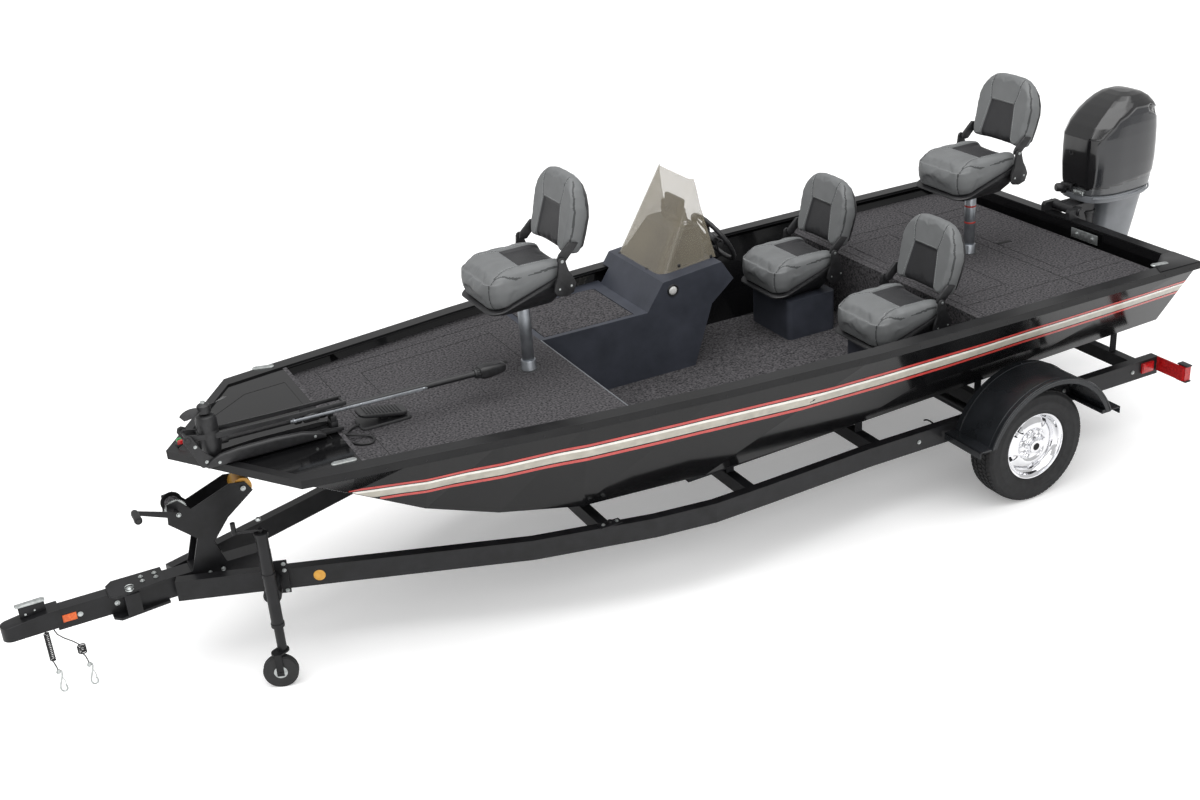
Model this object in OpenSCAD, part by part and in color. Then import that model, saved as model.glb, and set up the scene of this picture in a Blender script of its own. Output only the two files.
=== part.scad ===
// Aluminium bass boat standing on its single-axle trailer, with its outboard and bow motor.
// X runs forward from stern to coupler, Y to port, Z up. The road is at Z = 0.
// Sizes are worked out from the axle, and the finished model is centred over its own length.

/* [Overall] */
// Coupler nose, forward of the axle
nose_x = 4888; // [4700:1:5100]
// Rear of the outboard cowl, behind the axle
cowl_rear = 1600; // [1560:1:1700]

/* [Hull] */
// Transom, behind the axle
transom_x = 1025; // [950:1:1100]
// Bow tip, forward of the axle
bow_x = 4050; // [3950:1:4150]
// Hull shell thickness
hull_wall = 12; // [8:1:18]
// Height of the gunwale over the road
sheer_z = 1060; // [1020:1:1100]
// Width of the gunwale cap
cap_w = 70; // [50:1:90]
// Thickness of the gunwale cap
cap_t = 8; // [5:1:14]
// Transom thickness at the motor
transom_t = 60; // [40:1:80]

/* [Decks] */
// Top of the front deck over the road
front_deck_z = 1000; // [960:1:1020]
// Top of the aft deck over the road
aft_deck_z = 990; // [960:1:1020]
// Top of the cockpit floor
floor_z = 625; // [615:1:660]
// Thickness of the carpeted decks and lids
deck_t = 20; // [12:1:30]
// Rear edge of the front deck
front_step_x = 2130; // [2080:1:2200]
// Front edge of the aft deck
aft_step_x = 220; // [200:1:260]
// Rear edge of the black bow plate
bow_plate_x = 3360; // [3300:1:3420]
// Rear edge of the aft deck, at the motor well
well_x = -915; // [-930:1:-900]
// Thickness of a lid
lid_t = 12; // [8:1:16]
// Width of the ledge under a lid
ledge = 20; // [12:1:30]
// Gap all round a lid
lid_gap = 5; // [4:1:8]

/* [Console] */
// Side of the console that faces the middle of the boat
console_y = -285; // [-330:1:-250]
// Front of the raised pod
pod_front_x = 1500; // [1450:1:1550]
// Top of the pod
pod_z = 1170; // [1120:1:1220]
// Height of the windscreen above the pod
screen_h = 435; // [400:1:450]
// Thickness of the windscreen
screen_t = 5; // [4:1:8]
// Steering wheel diameter
wheel_d = 340; // [300:1:380]

/* [Seats] */
// Width of a seat cushion
seat_w = 446; // [400:1:470]
// Length of a seat cushion
seat_l = 430; // [400:1:440]
// Thickness of a seat cushion
seat_t = 110; // [90:1:125]
// Height of a seat back pad
back_h = 385; // [360:1:395]
// Thickness of a seat back pad at its foot
back_t = 106; // [90:1:125]
// Thickness of a seat back pad at its top
back_top_t = 76; // [60:1:100]
// Lean of a seat back at rest
back_lean = 14; // [8:1:18]
// Height of a pedestal from deck to seat
pedestal_h = 350; // [300:1:400]
// Pedestal tube diameter
pedestal_d = 60; // [45:1:75]

/* [Outboard] */
// Width of the engine cowl
cowl_w = 370; // [330:1:410]
// Height of the cowl top over the road
cowl_top_z = 1720; // [1680:1:1760]
// Propeller diameter
prop_d = 310; // [280:1:330]
// Height of the propeller shaft
prop_z = 400; // [380:1:420]

/* [Bow motor] */
// Distance of the bow motor from the centre line
troll_y = 215; // [190:1:240]
// Bow motor shaft diameter
troll_shaft_d = 30; // [25:1:36]
// Bow motor pod diameter
troll_pod_d = 90; // [80:1:100]
// Bow motor propeller diameter
troll_prop_d = 250; // [220:1:270]

/* [Trailer] */
// Tyre outer diameter
tyre_d = 610; // [590:1:640]
// Tyre width
tyre_w = 175; // [155:1:195]
// Rim diameter
rim_d = 356; // [340:1:370]
// Distance of a wheel's middle from the centre line
wheel_y = 905; // [895:1:930]
// Fender radius
fender_r = 405; // [385:1:430]
// Width of a fender
fender_w = 290; // [270:1:310]
// Height of the frame tubes
rail_h = 100; // [80:1:120]
// Width of the frame tubes
rail_w = 50; // [45:1:60]
// Top of the frame over the road
rail_top = 480; // [465:1:490]
// Jack wheel diameter
jack_wheel_d = 153; // [150:1:170]
// Coupler ball diameter
ball_d = 50.8; // [47.6:0.1:50.8]

/* [Hidden] */

$fn = 64;
mid_x = (nose_x - cowl_rear) / 2;
fit = 0.3;
black = [0.03, 0.03, 0.035];
carpet = [0.27, 0.27, 0.28];
steel = [0.06, 0.06, 0.065];
silver = [0.75, 0.76, 0.78];
vinyl = [0.45, 0.46, 0.47];
plastic = [0.16, 0.17, 0.20];

// Columns of a hull station, aft to forward
st_x = 0;
st_sheer_y = 1;
st_chine_y = 2;
st_chine_z = 3;
st_keel_z = 4;
stations = [
    [-transom_x, 980, 737, 665, 595],
    [0, 978, 737, 635, 562],
    [970, 960, 735, 603, 528],
    [1780, 890, 715, 572, 500],
    [2400, 815, 655, 572, 496],
    [2780, 750, 590, 630, 515],
    [3100, 698, 540, 730, 590],
    [3410, 652, 500, 885, 700],
    [3640, 612, 590, sheer_z - 15, 800],
    [bow_x, 6, 5, sheer_z - 15, sheer_z - 30]
];

module place() translate([-mid_x, 0, 0]) children();
module mirrored() {
    children();
    mirror([0, 1, 0]) children();
}
module box(low, high) translate(low) cube(high - low);
// A rod from one point to another
module rod(a, b, d, sides = 24) {
    v = b - a;
    len = norm(v);
    translate(a)
        rotate([0, acos(v[2] / len), atan2(v[1], v[0])])
            cylinder(d = d, h = len, $fn = sides);
}
// A plan outline turned into a plate between two heights
module plate(points, low, high) translate([0, 0, low]) linear_extrude(high - low) polygon(points);
// A side outline in X and Z, made into a slab between two Y values
module side(points, y0, y1)
    translate([0, y1, 0]) rotate([90, 0, 0]) linear_extrude(y1 - y0) polygon(points);
// A round-cornered upright block between two heights
module soft_block(x0, x1, y0, y1, z0, z1, r) {
    hull()
        for (x = [x0 + r, x1 - r])
            for (y = [y0 + r, y1 - r])
                translate([x, y, z0]) cylinder(r = r, h = z1 - z0, $fn = 32);
}
// A cushion: full width in the middle of its height, drawn in at top and bottom
module pad_block(l, w, t, r, inset) {
    hull()
        for (x = [-l / 2 + r, l / 2 - r])
            for (y = [-w / 2 + r, w / 2 - r])
                translate([x, y, 0]) {
                    cylinder(r = r - inset, h = t, $fn = 24);
                    translate([0, 0, inset]) cylinder(r = r, h = t - 2 * inset, $fn = 24);
                }
}

// One ring of a lofted hull, drawn in by a wall and open to a chosen height
function ring(s, wall, top) = [
    [s[st_x], s[st_sheer_y] - wall, top],
    [s[st_x], s[st_sheer_y] - wall, sheer_z],
    [s[st_x], s[st_chine_y] - wall, s[st_chine_z] + wall],
    [s[st_x], 0, s[st_keel_z] + wall],
    [s[st_x], wall - s[st_chine_y], s[st_chine_z] + wall],
    [s[st_x], wall - s[st_sheer_y], sheer_z],
    [s[st_x], wall - s[st_sheer_y], top]
];
function loft_faces(rings, n) = concat(
    [[for (i = [0:n - 1]) i]],
    [for (r = [0:rings - 2], i = [0:n - 1])
        [r * n + i, (r + 1) * n + i, (r + 1) * n + (i + 1) % n]],
    [for (r = [0:rings - 2], i = [0:n - 1])
        [r * n + i, (r + 1) * n + (i + 1) % n, r * n + (i + 1) % n]],
    [[for (i = [n - 1:-1:0]) (rings - 1) * n + i]]
);
module loft(rows, n) {
    points = [for (row = rows) each row];
    polyhedron(points = points, faces = [for (f = loft_faces(len(rows), n)) reversed(f)], convexity = 6);
}
inner_stations = [
    for (i = [0:len(stations) - 1])
        let (s = stations[i], last = i == len(stations) - 1, first = i == 0)
            [first ? s[0] + transom_t : last ? s[0] - 40 : s[0],
             last ? 60 : s[1], last ? 45 : s[2], s[3] + (last ? -10 : 0), s[4]]
];
// The space inside the hull shell, drawn in a little more where something sits in it
module inside(gap, top = 1300) loft([for (s = inner_stations) ring(s, hull_wall + gap, top)], 7);

module boat_hull() {
    color(black) place() difference() {
        loft([for (s = stations) ring(s, 0, sheer_z + 0.01)], 7);
        inside(0);
    }
}

// The gunwale cap follows the sheer, with a lip down outside the hull
lip_h = 30;
lip_t = 6;
function sheer_half(out, aft) = concat(
    [[aft, stations[0][st_sheer_y] + out]],
    [for (i = [1:8]) [stations[i][st_x], stations[i][st_sheer_y] + out]],
    out > 0
        ? [[bow_x, 6 + out], [bow_x + out, 6]]
        : [[stations[8][st_x] + (stations[8][st_sheer_y] + out) * (bow_x - stations[8][st_x]) / 606, 0.5]]
);
function sheer_line(out, aft) = let (half = sheer_half(out, aft))
    concat(half, reversed([for (p = half) [p[0], -p[1]]]));
module gunwale() {
    color(black) place() difference() {
        plate(sheer_line(lip_t, -transom_x - lip_t), sheer_z - lip_h, sheer_z + cap_t);
        plate(sheer_line(fit, -transom_x - fit), sheer_z - lip_h - 1, sheer_z + fit);
        plate(sheer_line(-cap_w, -transom_x + transom_t), sheer_z - 50, sheer_z + 50);
    }
}
module bow_plate() {
    color(black) place() intersection() {
        inside(fit);
        box([bow_plate_x + fit, -800, sheer_z - 25], [bow_x, 800, sheer_z]);
    }
}

module front_deck() {
    color(carpet) place() intersection() {
        inside(fit);
        union() {
            box([front_step_x, -900, front_deck_z - deck_t], [bow_plate_x, 900, front_deck_z]);
            box([front_step_x, -900, floor_z + fit], [front_step_x + deck_t, 900, front_deck_z]);
            box([bow_plate_x - deck_t, -900, front_deck_z - 60], [bow_plate_x, 900, sheer_z]);
        }
    }
}
module cockpit_floor() {
    color(carpet) place() intersection() {
        inside(fit);
        box([aft_step_x, -900, floor_z - deck_t], [front_step_x + deck_t, 900, floor_z]);
    }
}

// Lids: low X, high X, low Y, high Y
aft_lid_box = [-905, -550, -500, 500];
locker_box = [-190, 110, -490, 490];
console_lid_box = [1575, 2090, -765, -315];
module lid_hole(b, z) {
    box([b[0], b[2], z - lid_t - fit], [b[1], b[3], z + 1]);
    box([b[0] + ledge, b[2] + ledge, z - deck_t - 1], [b[1] - ledge, b[3] - ledge, z]);
}
module lid(b, z) box([b[0] + lid_gap, b[2] + lid_gap, z - lid_t], [b[1] - lid_gap, b[3] - lid_gap, z]);
// Hinge rod of a lid, along Y or along X
hinge_d = 8;
module lid_rod(a, b) rod(a, b, hinge_d, 32);
module aft_deck() {
    color(carpet) place() {
        difference() {
            intersection() {
                inside(fit);
                union() {
                    box([well_x, -1000, aft_deck_z - deck_t], [aft_step_x, 1000, aft_deck_z]);
                    box([aft_step_x - deck_t, -1000, floor_z - deck_t], [aft_step_x, 1000, aft_deck_z]);
                    box([well_x, -1000, 700], [well_x + deck_t, 1000, aft_deck_z]);
                }
            }
            lid_hole(aft_lid_box, aft_deck_z);
            lid_hole(locker_box, aft_deck_z);
        }
    }
}
module aft_lid() color(carpet) place() {
    lid(aft_lid_box, aft_deck_z);
    lid_rod([aft_lid_box[0] + lid_gap, aft_lid_box[2] + 20, aft_deck_z],
        [aft_lid_box[0] + lid_gap, aft_lid_box[3] - 20, aft_deck_z]);
}
module locker_lid() color(carpet) place() {
    lid(locker_box, aft_deck_z);
    lid_rod([locker_box[1] - lid_gap, locker_box[2] + 20, aft_deck_z],
        [locker_box[1] - lid_gap, locker_box[3] - 20, aft_deck_z]);
}

console_step_z = front_deck_z - 8;
// The pod stops short of the gunwale cap, and passes over it higher up
pod_low_y = -815;
pod_out_y = -890;
hump_z = 1325;
// Side outline of the console, forward step first, in X and Z
console_outline = [
    [pod_front_x + 20, floor_z + fit], [pod_front_x + 20, console_step_z],
    [pod_front_x + 10, console_step_z], [pod_front_x - 90, pod_z - 35],
    [1057, pod_z], [987, 1062], [1124, 951], [1240, floor_z + fit]
];
module console() {
    color(plastic) place() difference() {
        union() {
            intersection() {
                inside(fit);
                union() {
                    side(console_outline, pod_low_y, console_y);
                    box([pod_front_x, -940, floor_z + fit], [front_step_x - fit, console_y, console_step_z]);
                }
            }
            intersection() {
                side(console_outline, pod_out_y, console_y);
                box([900, pod_out_y, sheer_z + cap_t + 4], [pod_front_x, console_y, pod_z]);
            }
            hull() {
                soft_block(1070, 1372, -855, -390, pod_z - 50, pod_z - 40, 50);
                soft_block(1070, 1235, -795, -450, hump_z - 12, hump_z, 50);
            }
            on_column(-140) cylinder(d = 76, h = 55);
        }
        on_column(-column_l - 2) cylinder(d = column_d + 1, h = 100);
        lid_hole(console_lid_box, console_step_z);
        // The locker space under the step
        box([console_lid_box[0] + 25, console_lid_box[2] + 25, floor_z + 60],
            [console_lid_box[1] - 25, console_lid_box[3] - 25, front_deck_z]);
    }
}
module console_lid() color(carpet) place() {
    lid(console_lid_box, console_step_z);
    lid_rod([console_lid_box[0] + 20, console_lid_box[2] + lid_gap, console_step_z],
        [console_lid_box[1] - 20, console_lid_box[2] + lid_gap, console_step_z]);
}

// The screen wraps round the hump, on three sides, and leans back
module screen_form(in) hull() {
    soft_block(900, 1392 - in, -872 + in, -368 - in, pod_z - 60, pod_z - 59, 60 - in);
    soft_block(900, 1155 - in, -775 + in, -398 - in, pod_z + screen_h - 1, pod_z + screen_h, 50 - in);
}
module windscreen() {
    color([0.35, 0.34, 0.33, 0.5]) place() difference() {
        screen_form(0);
        screen_form(screen_t);
        box([700, -1000, 1000], [1040, -100, pod_z + screen_h + 10]);
        // The foot follows the slope of the pod
        side([[900, 1000], [1500, 1000], [1500, pod_z - 35 + fit - 23], [1410, pod_z - 35 + fit],
            [1057, pod_z + fit], [900, pod_z + fit]], -1000, -100);
        // The rear edges slope down and back
        side([
            [1000, pod_z + screen_h + 20], [1132, pod_z + screen_h + 20], [1132, pod_z + screen_h - 8],
            [1112, pod_z + 300], [1040, pod_z], [1000, pod_z]
        ], -1000, -100);
    }
}
module instruments() {
    color(plastic) place() {
        translate([1130, -640, hump_z + fit]) cylinder(d = 60, h = 40);
        box([1110, -730, hump_z + 30], [1150, -550, hump_z + 130]);
    }
}

// The dash slopes, and the wheel stands square to it
dash_tilt = 58;
wheel_c = [915, -600, 1190];
rim_tube = 28;
column_d = 30;
column_l = 124;
module on_column(z) translate(wheel_c) rotate([0, -dash_tilt, 0]) translate([0, 0, z]) children();
module steering_wheel() {
    color(black) place() on_column(0) {
        rotate_extrude() translate([wheel_d / 2 - rim_tube / 2, 0]) circle(d = rim_tube, $fn = 24);
        for (a = [90, 210, 330])
            rotate([0, 0, a]) translate([20, -14, -8]) cube([wheel_d / 2 - rim_tube, 28, 10]);
        translate([0, 0, -30]) cylinder(d = 84, h = 34);
        translate([0, 0, -column_l]) cylinder(d = column_d, h = column_l - 20);
    }
}
module throttle_control() {
    color(black) place() {
        intersection() {
            inside(fit);
            box([700, -960, 960], [860, -850, 1050]);
        }
        translate([780, -851, 1010]) rotate([-90, 0, 0]) cylinder(d = 60, h = 30);
        rod([780, -835, 1010], [820, -835, 1170], 18);
        translate([820, -835, 1180]) sphere(d = 44);
    }
}

front_seat = [2320, 0, front_deck_z + pedestal_h];
rear_seat = [-350, 0, aft_deck_z + pedestal_h];
helm_seat = [500, -450, 850];
passenger_seat = [500, 450, 850];
pedestal_seats = [front_seat, rear_seat];
cockpit_seats = [helm_seat, passenger_seat];
module pedestals() {
    color(silver) place() for (s = pedestal_seats) {
        translate([s[0], s[1], s[2] - pedestal_h + fit]) cylinder(d = 110, h = 8);
        translate([s[0], s[1], s[2] - pedestal_h + fit]) cylinder(d = pedestal_d + 20, h = 40);
        translate([s[0], s[1], s[2] - pedestal_h + fit]) cylinder(d = pedestal_d, h = pedestal_h - 1);
    }
}
module seat_boxes() {
    color(plastic) place() intersection() {
        inside(fit);
        for (s = cockpit_seats)
            soft_block(s[0] - 150, s[0] + 160, s[1] - 190, s[1] + 190, floor_z + fit, s[2] - fit, 30);
    }
}

// A seat stands about its pedestal, with its front towards positive X
pan_t = 110;
seat_front = 256;
hinge_x = -112;
hinge_z = 238;
hinge_pin = 10;
ear_t = 14;
pad_back = 25;
module seat_pan() {
    hull() {
        soft_block(-110, 120, -115, 115, 0, 6, 40);
        soft_block(seat_front - seat_l + 5, seat_front - 30, -seat_w / 2 + 16, seat_w / 2 - 16, pan_t - 34, pan_t, 60);
    }
    mirrored() side([
        [hinge_x - 75, 70], [hinge_x + 20, 60], [hinge_x + 40, pan_t], [hinge_x + 18, hinge_z + 15],
        [hinge_x - 18, hinge_z + 15], [hinge_x - 75, 190]
    ], seat_w / 2 + 1, seat_w / 2 + 1 + ear_t);
    mirrored() box([hinge_x - 40, seat_w / 2 - 60, 78], [hinge_x + 20, seat_w / 2 + 1, pan_t - 6]);
    mirrored() rod([hinge_x, seat_w / 2 - 24, hinge_z], [hinge_x, seat_w / 2 + 8, hinge_z], hinge_pin, 32);
}
module seat_cushion()
    translate([seat_front - seat_l / 2, 0, pan_t + fit]) pad_block(seat_l, seat_w - 36, seat_t, 70, 18);
module seat_back() {
    foot = 30;
    translate([hinge_x, 0, hinge_z]) rotate([0, -back_lean, 0]) {
        // Back pad, its front face just behind the hinge line
        hull() for (y = [-1, 1]) {
            translate([-pad_back - back_t, y * (seat_w / 2 - 60), foot + 45])
                rotate([0, 90, 0]) cylinder(r = 45, h = back_t, $fn = 32);
            translate([-pad_back - back_t + 8, y * (seat_w / 2 - 90), foot + back_h * 0.5])
                rotate([0, 90, 0]) cylinder(r = 90, h = back_t - 8, $fn = 32);
            translate([-pad_back - back_top_t, y * (seat_w / 2 - 135), foot + back_h - 110])
                rotate([0, 90, 0]) cylinder(r = 110, h = back_top_t, $fn = 32);
        }
        // Hinge arms
        mirrored() difference() {
            side([[-30, -12], [12, -12], [8, 20], [-pad_back - 8, foot + 55], [-pad_back - 60, foot + 55]],
                seat_w / 2 - 15 - ear_t, seat_w / 2 - 8);
            rod([0, 0, 0], [0, seat_w, 0], hinge_pin + 2 * fit, 32);
        }
    }
}
module front_pan() color(black) place() translate(front_seat) seat_pan();
module front_cushion() color(vinyl) place() translate(front_seat) seat_cushion();
module front_back() color(vinyl) place() translate(front_seat) seat_back();
module rear_pan() color(black) place() translate(rear_seat) seat_pan();
module rear_cushion() color(vinyl) place() translate(rear_seat) seat_cushion();
module rear_back() color(vinyl) place() translate(rear_seat) seat_back();
module cockpit_pans() color(black) place() for (s = cockpit_seats) translate(s) seat_pan();
module cockpit_cushions() color(vinyl) place() for (s = cockpit_seats) translate(s) seat_cushion();
module helm_back() color(vinyl) place() translate(helm_seat) seat_back();
module passenger_back() color(vinyl) place() translate(passenger_seat) seat_back();

// Outboard: the clamp stays on the transom, the swivel tilts, cowl and leg steer on it
tilt_x = -1035;
tilt_z = 1101;
tilt_tube = 34;
steer_x = -1190;
spindle = 46;
swivel_w = 150;
ear_top = tilt_z + 22;
module outboard_bracket() {
    color(black) place() {
        mirrored() side([
            [-transom_x - lip_t - 1, 760], [-transom_x - lip_t - 1, sheer_z + cap_t + fit],
            [-transom_x + transom_t + 5, sheer_z + cap_t + fit], [-transom_x + transom_t + 5, ear_top - 14],
            [-transom_x + transom_t - 5, ear_top], [tilt_x - 24, ear_top],
            [-transom_x - 80, 1000], [-transom_x - 60, 760]
        ], swivel_w / 2 + 6, swivel_w / 2 + 36);
        rod([tilt_x, -swivel_w / 2 - 50, tilt_z], [tilt_x, swivel_w / 2 + 50, tilt_z], tilt_tube, 48);
    }
}
module outboard_swivel() {
    color(black) place() difference() {
        union() {
            rod([tilt_x, -swivel_w / 2, tilt_z], [tilt_x, swivel_w / 2, tilt_z], 56, 48);
            box([steer_x, -60, tilt_z - 24], [tilt_x, 60, tilt_z + 22]);
            translate([steer_x, 0, 800]) cylinder(d = 90, h = tilt_z + 22 - 800);
        }
        rod([tilt_x, -swivel_w, tilt_z], [tilt_x, swivel_w, tilt_z], tilt_tube + 2 * fit, 48);
        translate([steer_x, 0, 700]) cylinder(d = spindle + 2, h = 500);
    }
}
// Levels of the cowl: height, front, rear, half width
cowl_foot = 1185;
cowl_levels = [
    [cowl_foot - 10, -1095, 20 - cowl_rear, cowl_w / 2 - 12], [1330, -1082, -cowl_rear, cowl_w / 2],
    [1500, -1084, 4 - cowl_rear, cowl_w / 2], [cowl_top_z - 110, -1170, 30 - cowl_rear, cowl_w / 2 - 12],
    [cowl_top_z - 45, -1265, 75 - cowl_rear, cowl_w / 2 - 45], [cowl_top_z - 1, -1345, 170 - cowl_rear, cowl_w / 2 - 105]
];
// Plan outline of one level: narrow at the front, widest at a third
function cowl_side(x0, x1, w) = let (l = x0 - x1) [
    [x0, 0.52 * w], [x0 - 0.06 * l, 0.78 * w], [x0 - 0.3 * l, w], [x0 - 0.68 * l, w], [x0 - 0.92 * l, 0.78 * w],
    [x1, 0.48 * w]
];
function cowl_plan(c, in) = let (half = cowl_side(c[1] - in, c[2] + in, c[3] - in))
    concat(half, reversed([for (p = half) [p[0], -p[1]]]));
module cowl_solid(in) {
    hull() for (c = cowl_levels) plate(cowl_plan(c, in), c[0] - (c[0] > 1600 ? in : 0), c[0] + 1 - (c[0] > 1600 ? in : 0));
}
module outboard_cowl() {
    color(black) place() difference() {
        cowl_solid(0);
        cowl_solid(12);
        plate(cowl_plan(cowl_levels[0], 12), cowl_foot - 20, cowl_foot + 20);
    }
}
tray_z = ear_top + 10;
tray_t = 12;
// Plan outline of the tray under the cowl
tray_outline = [
    [-cowl_rear + 24, -120], [-cowl_rear + 24, 120], [-1500, 171], [-1200, 171], [-1086, 110],
    [-1086, -110], [-1200, -171], [-1500, -171]
];
module powerhead()
    color(steel) place() box([-1460, -105, tray_z + tray_t + fit], [-1190, 105, 1500]);
module outboard_leg() {
    color([0.42, 0.43, 0.45]) place() {
        difference() {
            plate(tray_outline, tray_z, cowl_foot - 10 - fit);
            translate([-1340, 0, tray_z + tray_t]) scale([0.94, 0.92, 1]) translate([1340, 0, 0])
                plate(tray_outline, 0, 100);
        }
        // Steering spindle in the swivel
        translate([steer_x, 0, 760]) cylinder(d = spindle, h = tray_z - 760 + 2);
        // Upper housing, mid-section and gearcase
        hull() {
            box([-1570, -95, tray_z - 4], [-1250, 95, tray_z + 2]);
            box([-1470, -60, 700], [-1250, 60, 710]);
        }
        box([-1300, -40, 730], [steer_x, 40, 790]);
        hull() {
            box([-1440, -40, plate_z + 10], [-1230, 40, 710]);
            box([-1420, -25, prop_z + 40], [-1210, 25, prop_z + 60]);
        }
        // Plate over the propeller
        box([-1540, -110, plate_z], [-1200, 110, plate_z + 11]);
        hull() {
            rod([-1450, 0, prop_z], [-1200, 0, prop_z], 96, 32);
            translate([-1150, 0, prop_z]) sphere(d = 30, $fn = 24);
        }
        side([[-1430, prop_z - 30], [-1230, prop_z - 30], [-1300, 265], [-1420, 235]], -8, 8);
        rod([-1595, 0, prop_z], [-1450, 0, prop_z], prop_shaft, 48);
    }
}
plate_z = prop_z + 172;
prop_shaft = 20;
module propeller() {
    color(black) place() translate([-1520, 0, prop_z]) difference() {
        union() {
            rotate([0, 90, 0]) cylinder(d1 = 94, d2 = 84, h = 112, center = true);
            for (a = [0, 120, 240]) rotate([a, 0, 0]) translate([0, 0, 36]) rotate([0, 0, 35]) hull() {
                cube([90, 6, 1], center = true);
                translate([0, 0, prop_d / 2 - 36 - 56]) rotate([90, 0, 0])
                    cylinder(d = 112, h = 6, center = true, $fn = 32);
            }
        }
        rotate([0, 90, 0]) cylinder(d = prop_shaft + 0.2, h = 200, center = true);
    }
}

// Bow motor: the mount is fixed on the bow plate, and the motor swings up about its outer end
troll_pivot = [4000, troll_y, 1215];
troll_base_z = sheer_z + cap_t;
module troll_mount() {
    color(black) place() {
        box([3330, troll_y - 40, troll_base_z + fit], [3960, troll_y + 40, troll_base_z + 20]);
        hull() {
            box([3420, troll_y + 48, troll_base_z + fit], [3940, troll_y + 78, troll_base_z + 30]);
            box([3560, troll_y + 50, troll_base_z + 60], [3900, troll_y + 76, troll_base_z + 62]);
        }
        box([3330, troll_y + 30, troll_base_z + fit], [3960, troll_y + 50, troll_base_z + 20]);
        mirrored_at(troll_y) side([
            [3900, troll_base_z + 10], [3960, troll_base_z + 10], [4020, troll_pivot[2] + 12],
            [4000, troll_pivot[2] + 20], [3975, troll_pivot[2] + 10]
        ], 52, 62);
        rod(troll_pivot - [0, 66, 0], troll_pivot + [0, 66, 0], 12, 32);
        // Rear saddle that the shaft lies in
        box([3350, troll_y - 30, troll_base_z + 20], [3380, troll_y + 30, shaft_low(3380) - fit]);
    }
}
module mirrored_at(y) {
    translate([0, y, 0]) {
        children();
        mirror([0, 1, 0]) children();
    }
}
troll_shaft_z = 1160;
troll_head_x = 2590;
troll_pod_x = 3900;
function shaft_low(x) = troll_shaft_z - 14 * (troll_pod_x - x) / (troll_pod_x - troll_head_x) - troll_shaft_d / 2;
module troll_motor() {
    color([0.12, 0.12, 0.13]) place() {
        rod([troll_head_x, troll_y, troll_shaft_z - 14], [3880, troll_y, troll_shaft_z], troll_shaft_d, 32);
        // Lifting arm beside the shaft
        difference() {
            side([[3300, 1178], [3900, 1182], [3988, 1198], [4014, 1216], [4000, 1230], [3960, 1222], [3300, 1200]],
                troll_y - 40, troll_y + 40);
            side([[3250, 1100], [3975, 1100], [3975, 1240], [3250, 1240]], troll_y - 30, troll_y + 30);
            rod(troll_pivot - [0, 60, 0], troll_pivot + [0, 60, 0], 12 + 2 * fit, 32);
        }
        difference() {
            box([3420, troll_y - 35, 1140], [3500, troll_y + 35, 1190]);
            rod([3400, troll_y, 1155], [3520, troll_y, 1156.5], troll_shaft_d - 2, 32);
        }
        // Motor pod, square to the shaft, and its fin
        hull() {
            translate([3900, troll_y, 1110]) sphere(d = 36, $fn = 24);
            translate([3900, troll_y, 1170]) cylinder(d = troll_pod_d, h = 120, $fn = 32);
        }
        side([[3930, 1200], [3930, 1140], [4030, 1160]], troll_y - 3, troll_y + 3);
        translate([3900, troll_y, 1290]) cylinder(d = 12, h = 50);
        // Control head
        hull() {
            translate([troll_head_x, troll_y - 35, 1118]) cube([70, 70, 60]);
            translate([troll_head_x - 60, troll_y - 25, 1128]) cube([60, 50, 40]);
        }
    }
}
module troll_propeller() {
    color(black) place() translate([3900, troll_y, 1318]) difference() {
        union() {
            translate([0, 0, -22]) cylinder(d = 60, h = 40);
            for (a = [20, 200]) rotate([0, 0, a]) translate([20, -3, -14]) hull() {
                cube([10, 6, 22]);
                translate([troll_prop_d / 2 - 50, 0, -4]) cube([30, 6, 26]);
            }
        }
        translate([0, 0, -40]) cylinder(d = 12 + 2 * fit, h = 100);
    }
}
module foot_pedal() {
    color([0.1, 0.1, 0.11]) place() {
        box([2990, 60, front_deck_z + fit], [3230, 190, front_deck_z + 14]);
        side([[3000, front_deck_z + 18], [3230, front_deck_z + 60], [3230, front_deck_z + 75], [3000, front_deck_z + 36]], 70, 180);
        box([3090, 100, front_deck_z + 10], [3130, 150, front_deck_z + 45]);
    }
}

// Trailer frame: outer edge of the port rail in plan, aft to forward
rail_out = 798;
rail_line = [
    [-1000, rail_out], [900, rail_out], [1500, 828], [1800, 838], [2100, 800], [2660, 665], [3470, 350], [4150, 92]
];
function inset_line(line, w) = [
    for (i = [0:len(line) - 1])
        let (
            a = line[max(i - 1, 0)],
            b = line[min(i + 1, len(line) - 1)],
            d = (b - a) / norm(b - a)
        )
        [line[i][0] + d[1] * w, line[i][1] - d[0] * w]
];
function reversed(list) = [for (i = [len(list) - 1:-1:0]) list[i]];
rail_low = rail_top - rail_h;
beam_x0 = 3700;
beam_x1 = 4300;
module frame_rails() {
    color(steel) place() {
        mirrored() plate(concat(rail_line, reversed(inset_line(rail_line, rail_w))), rail_low, rail_top);
        // Tongue beam between the rails
        difference() {
            box([beam_x0, -45, rail_low], [beam_x1, 45, rail_top]);
            translate([swing_x, 0, rail_low - 10]) cylinder(d = 20 + 2 * fit, h = 200);
        }
        // Hinge ears of the swing-away tongue, above and below
        for (z = [rail_top, rail_low - 12])
            difference() {
                plate([[4180, -62], [4400, -62], [4430, -30], [4430, 60], [4400, 90], [4180, 62]], z, z + 12);
                translate([swing_x, 62, z - 5]) cylinder(d = 20 + 2 * fit, h = 30);
            }
    }
}
swing_x = 4340;
cross_x = [-900, 40, 800, 1560, 2300];
module crossmembers() {
    inner = inset_line(rail_line, rail_w + 2 * fit);
    color(steel) place() intersection() {
        plate(concat(inner, reversed([for (p = inner) [p[0], -p[1]]])), rail_low, rail_top);
        for (x = cross_x)
            box([x - 25, -rail_out, rail_low + 5], [x + 25, rail_out, rail_low + 75]);
    }
}

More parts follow.
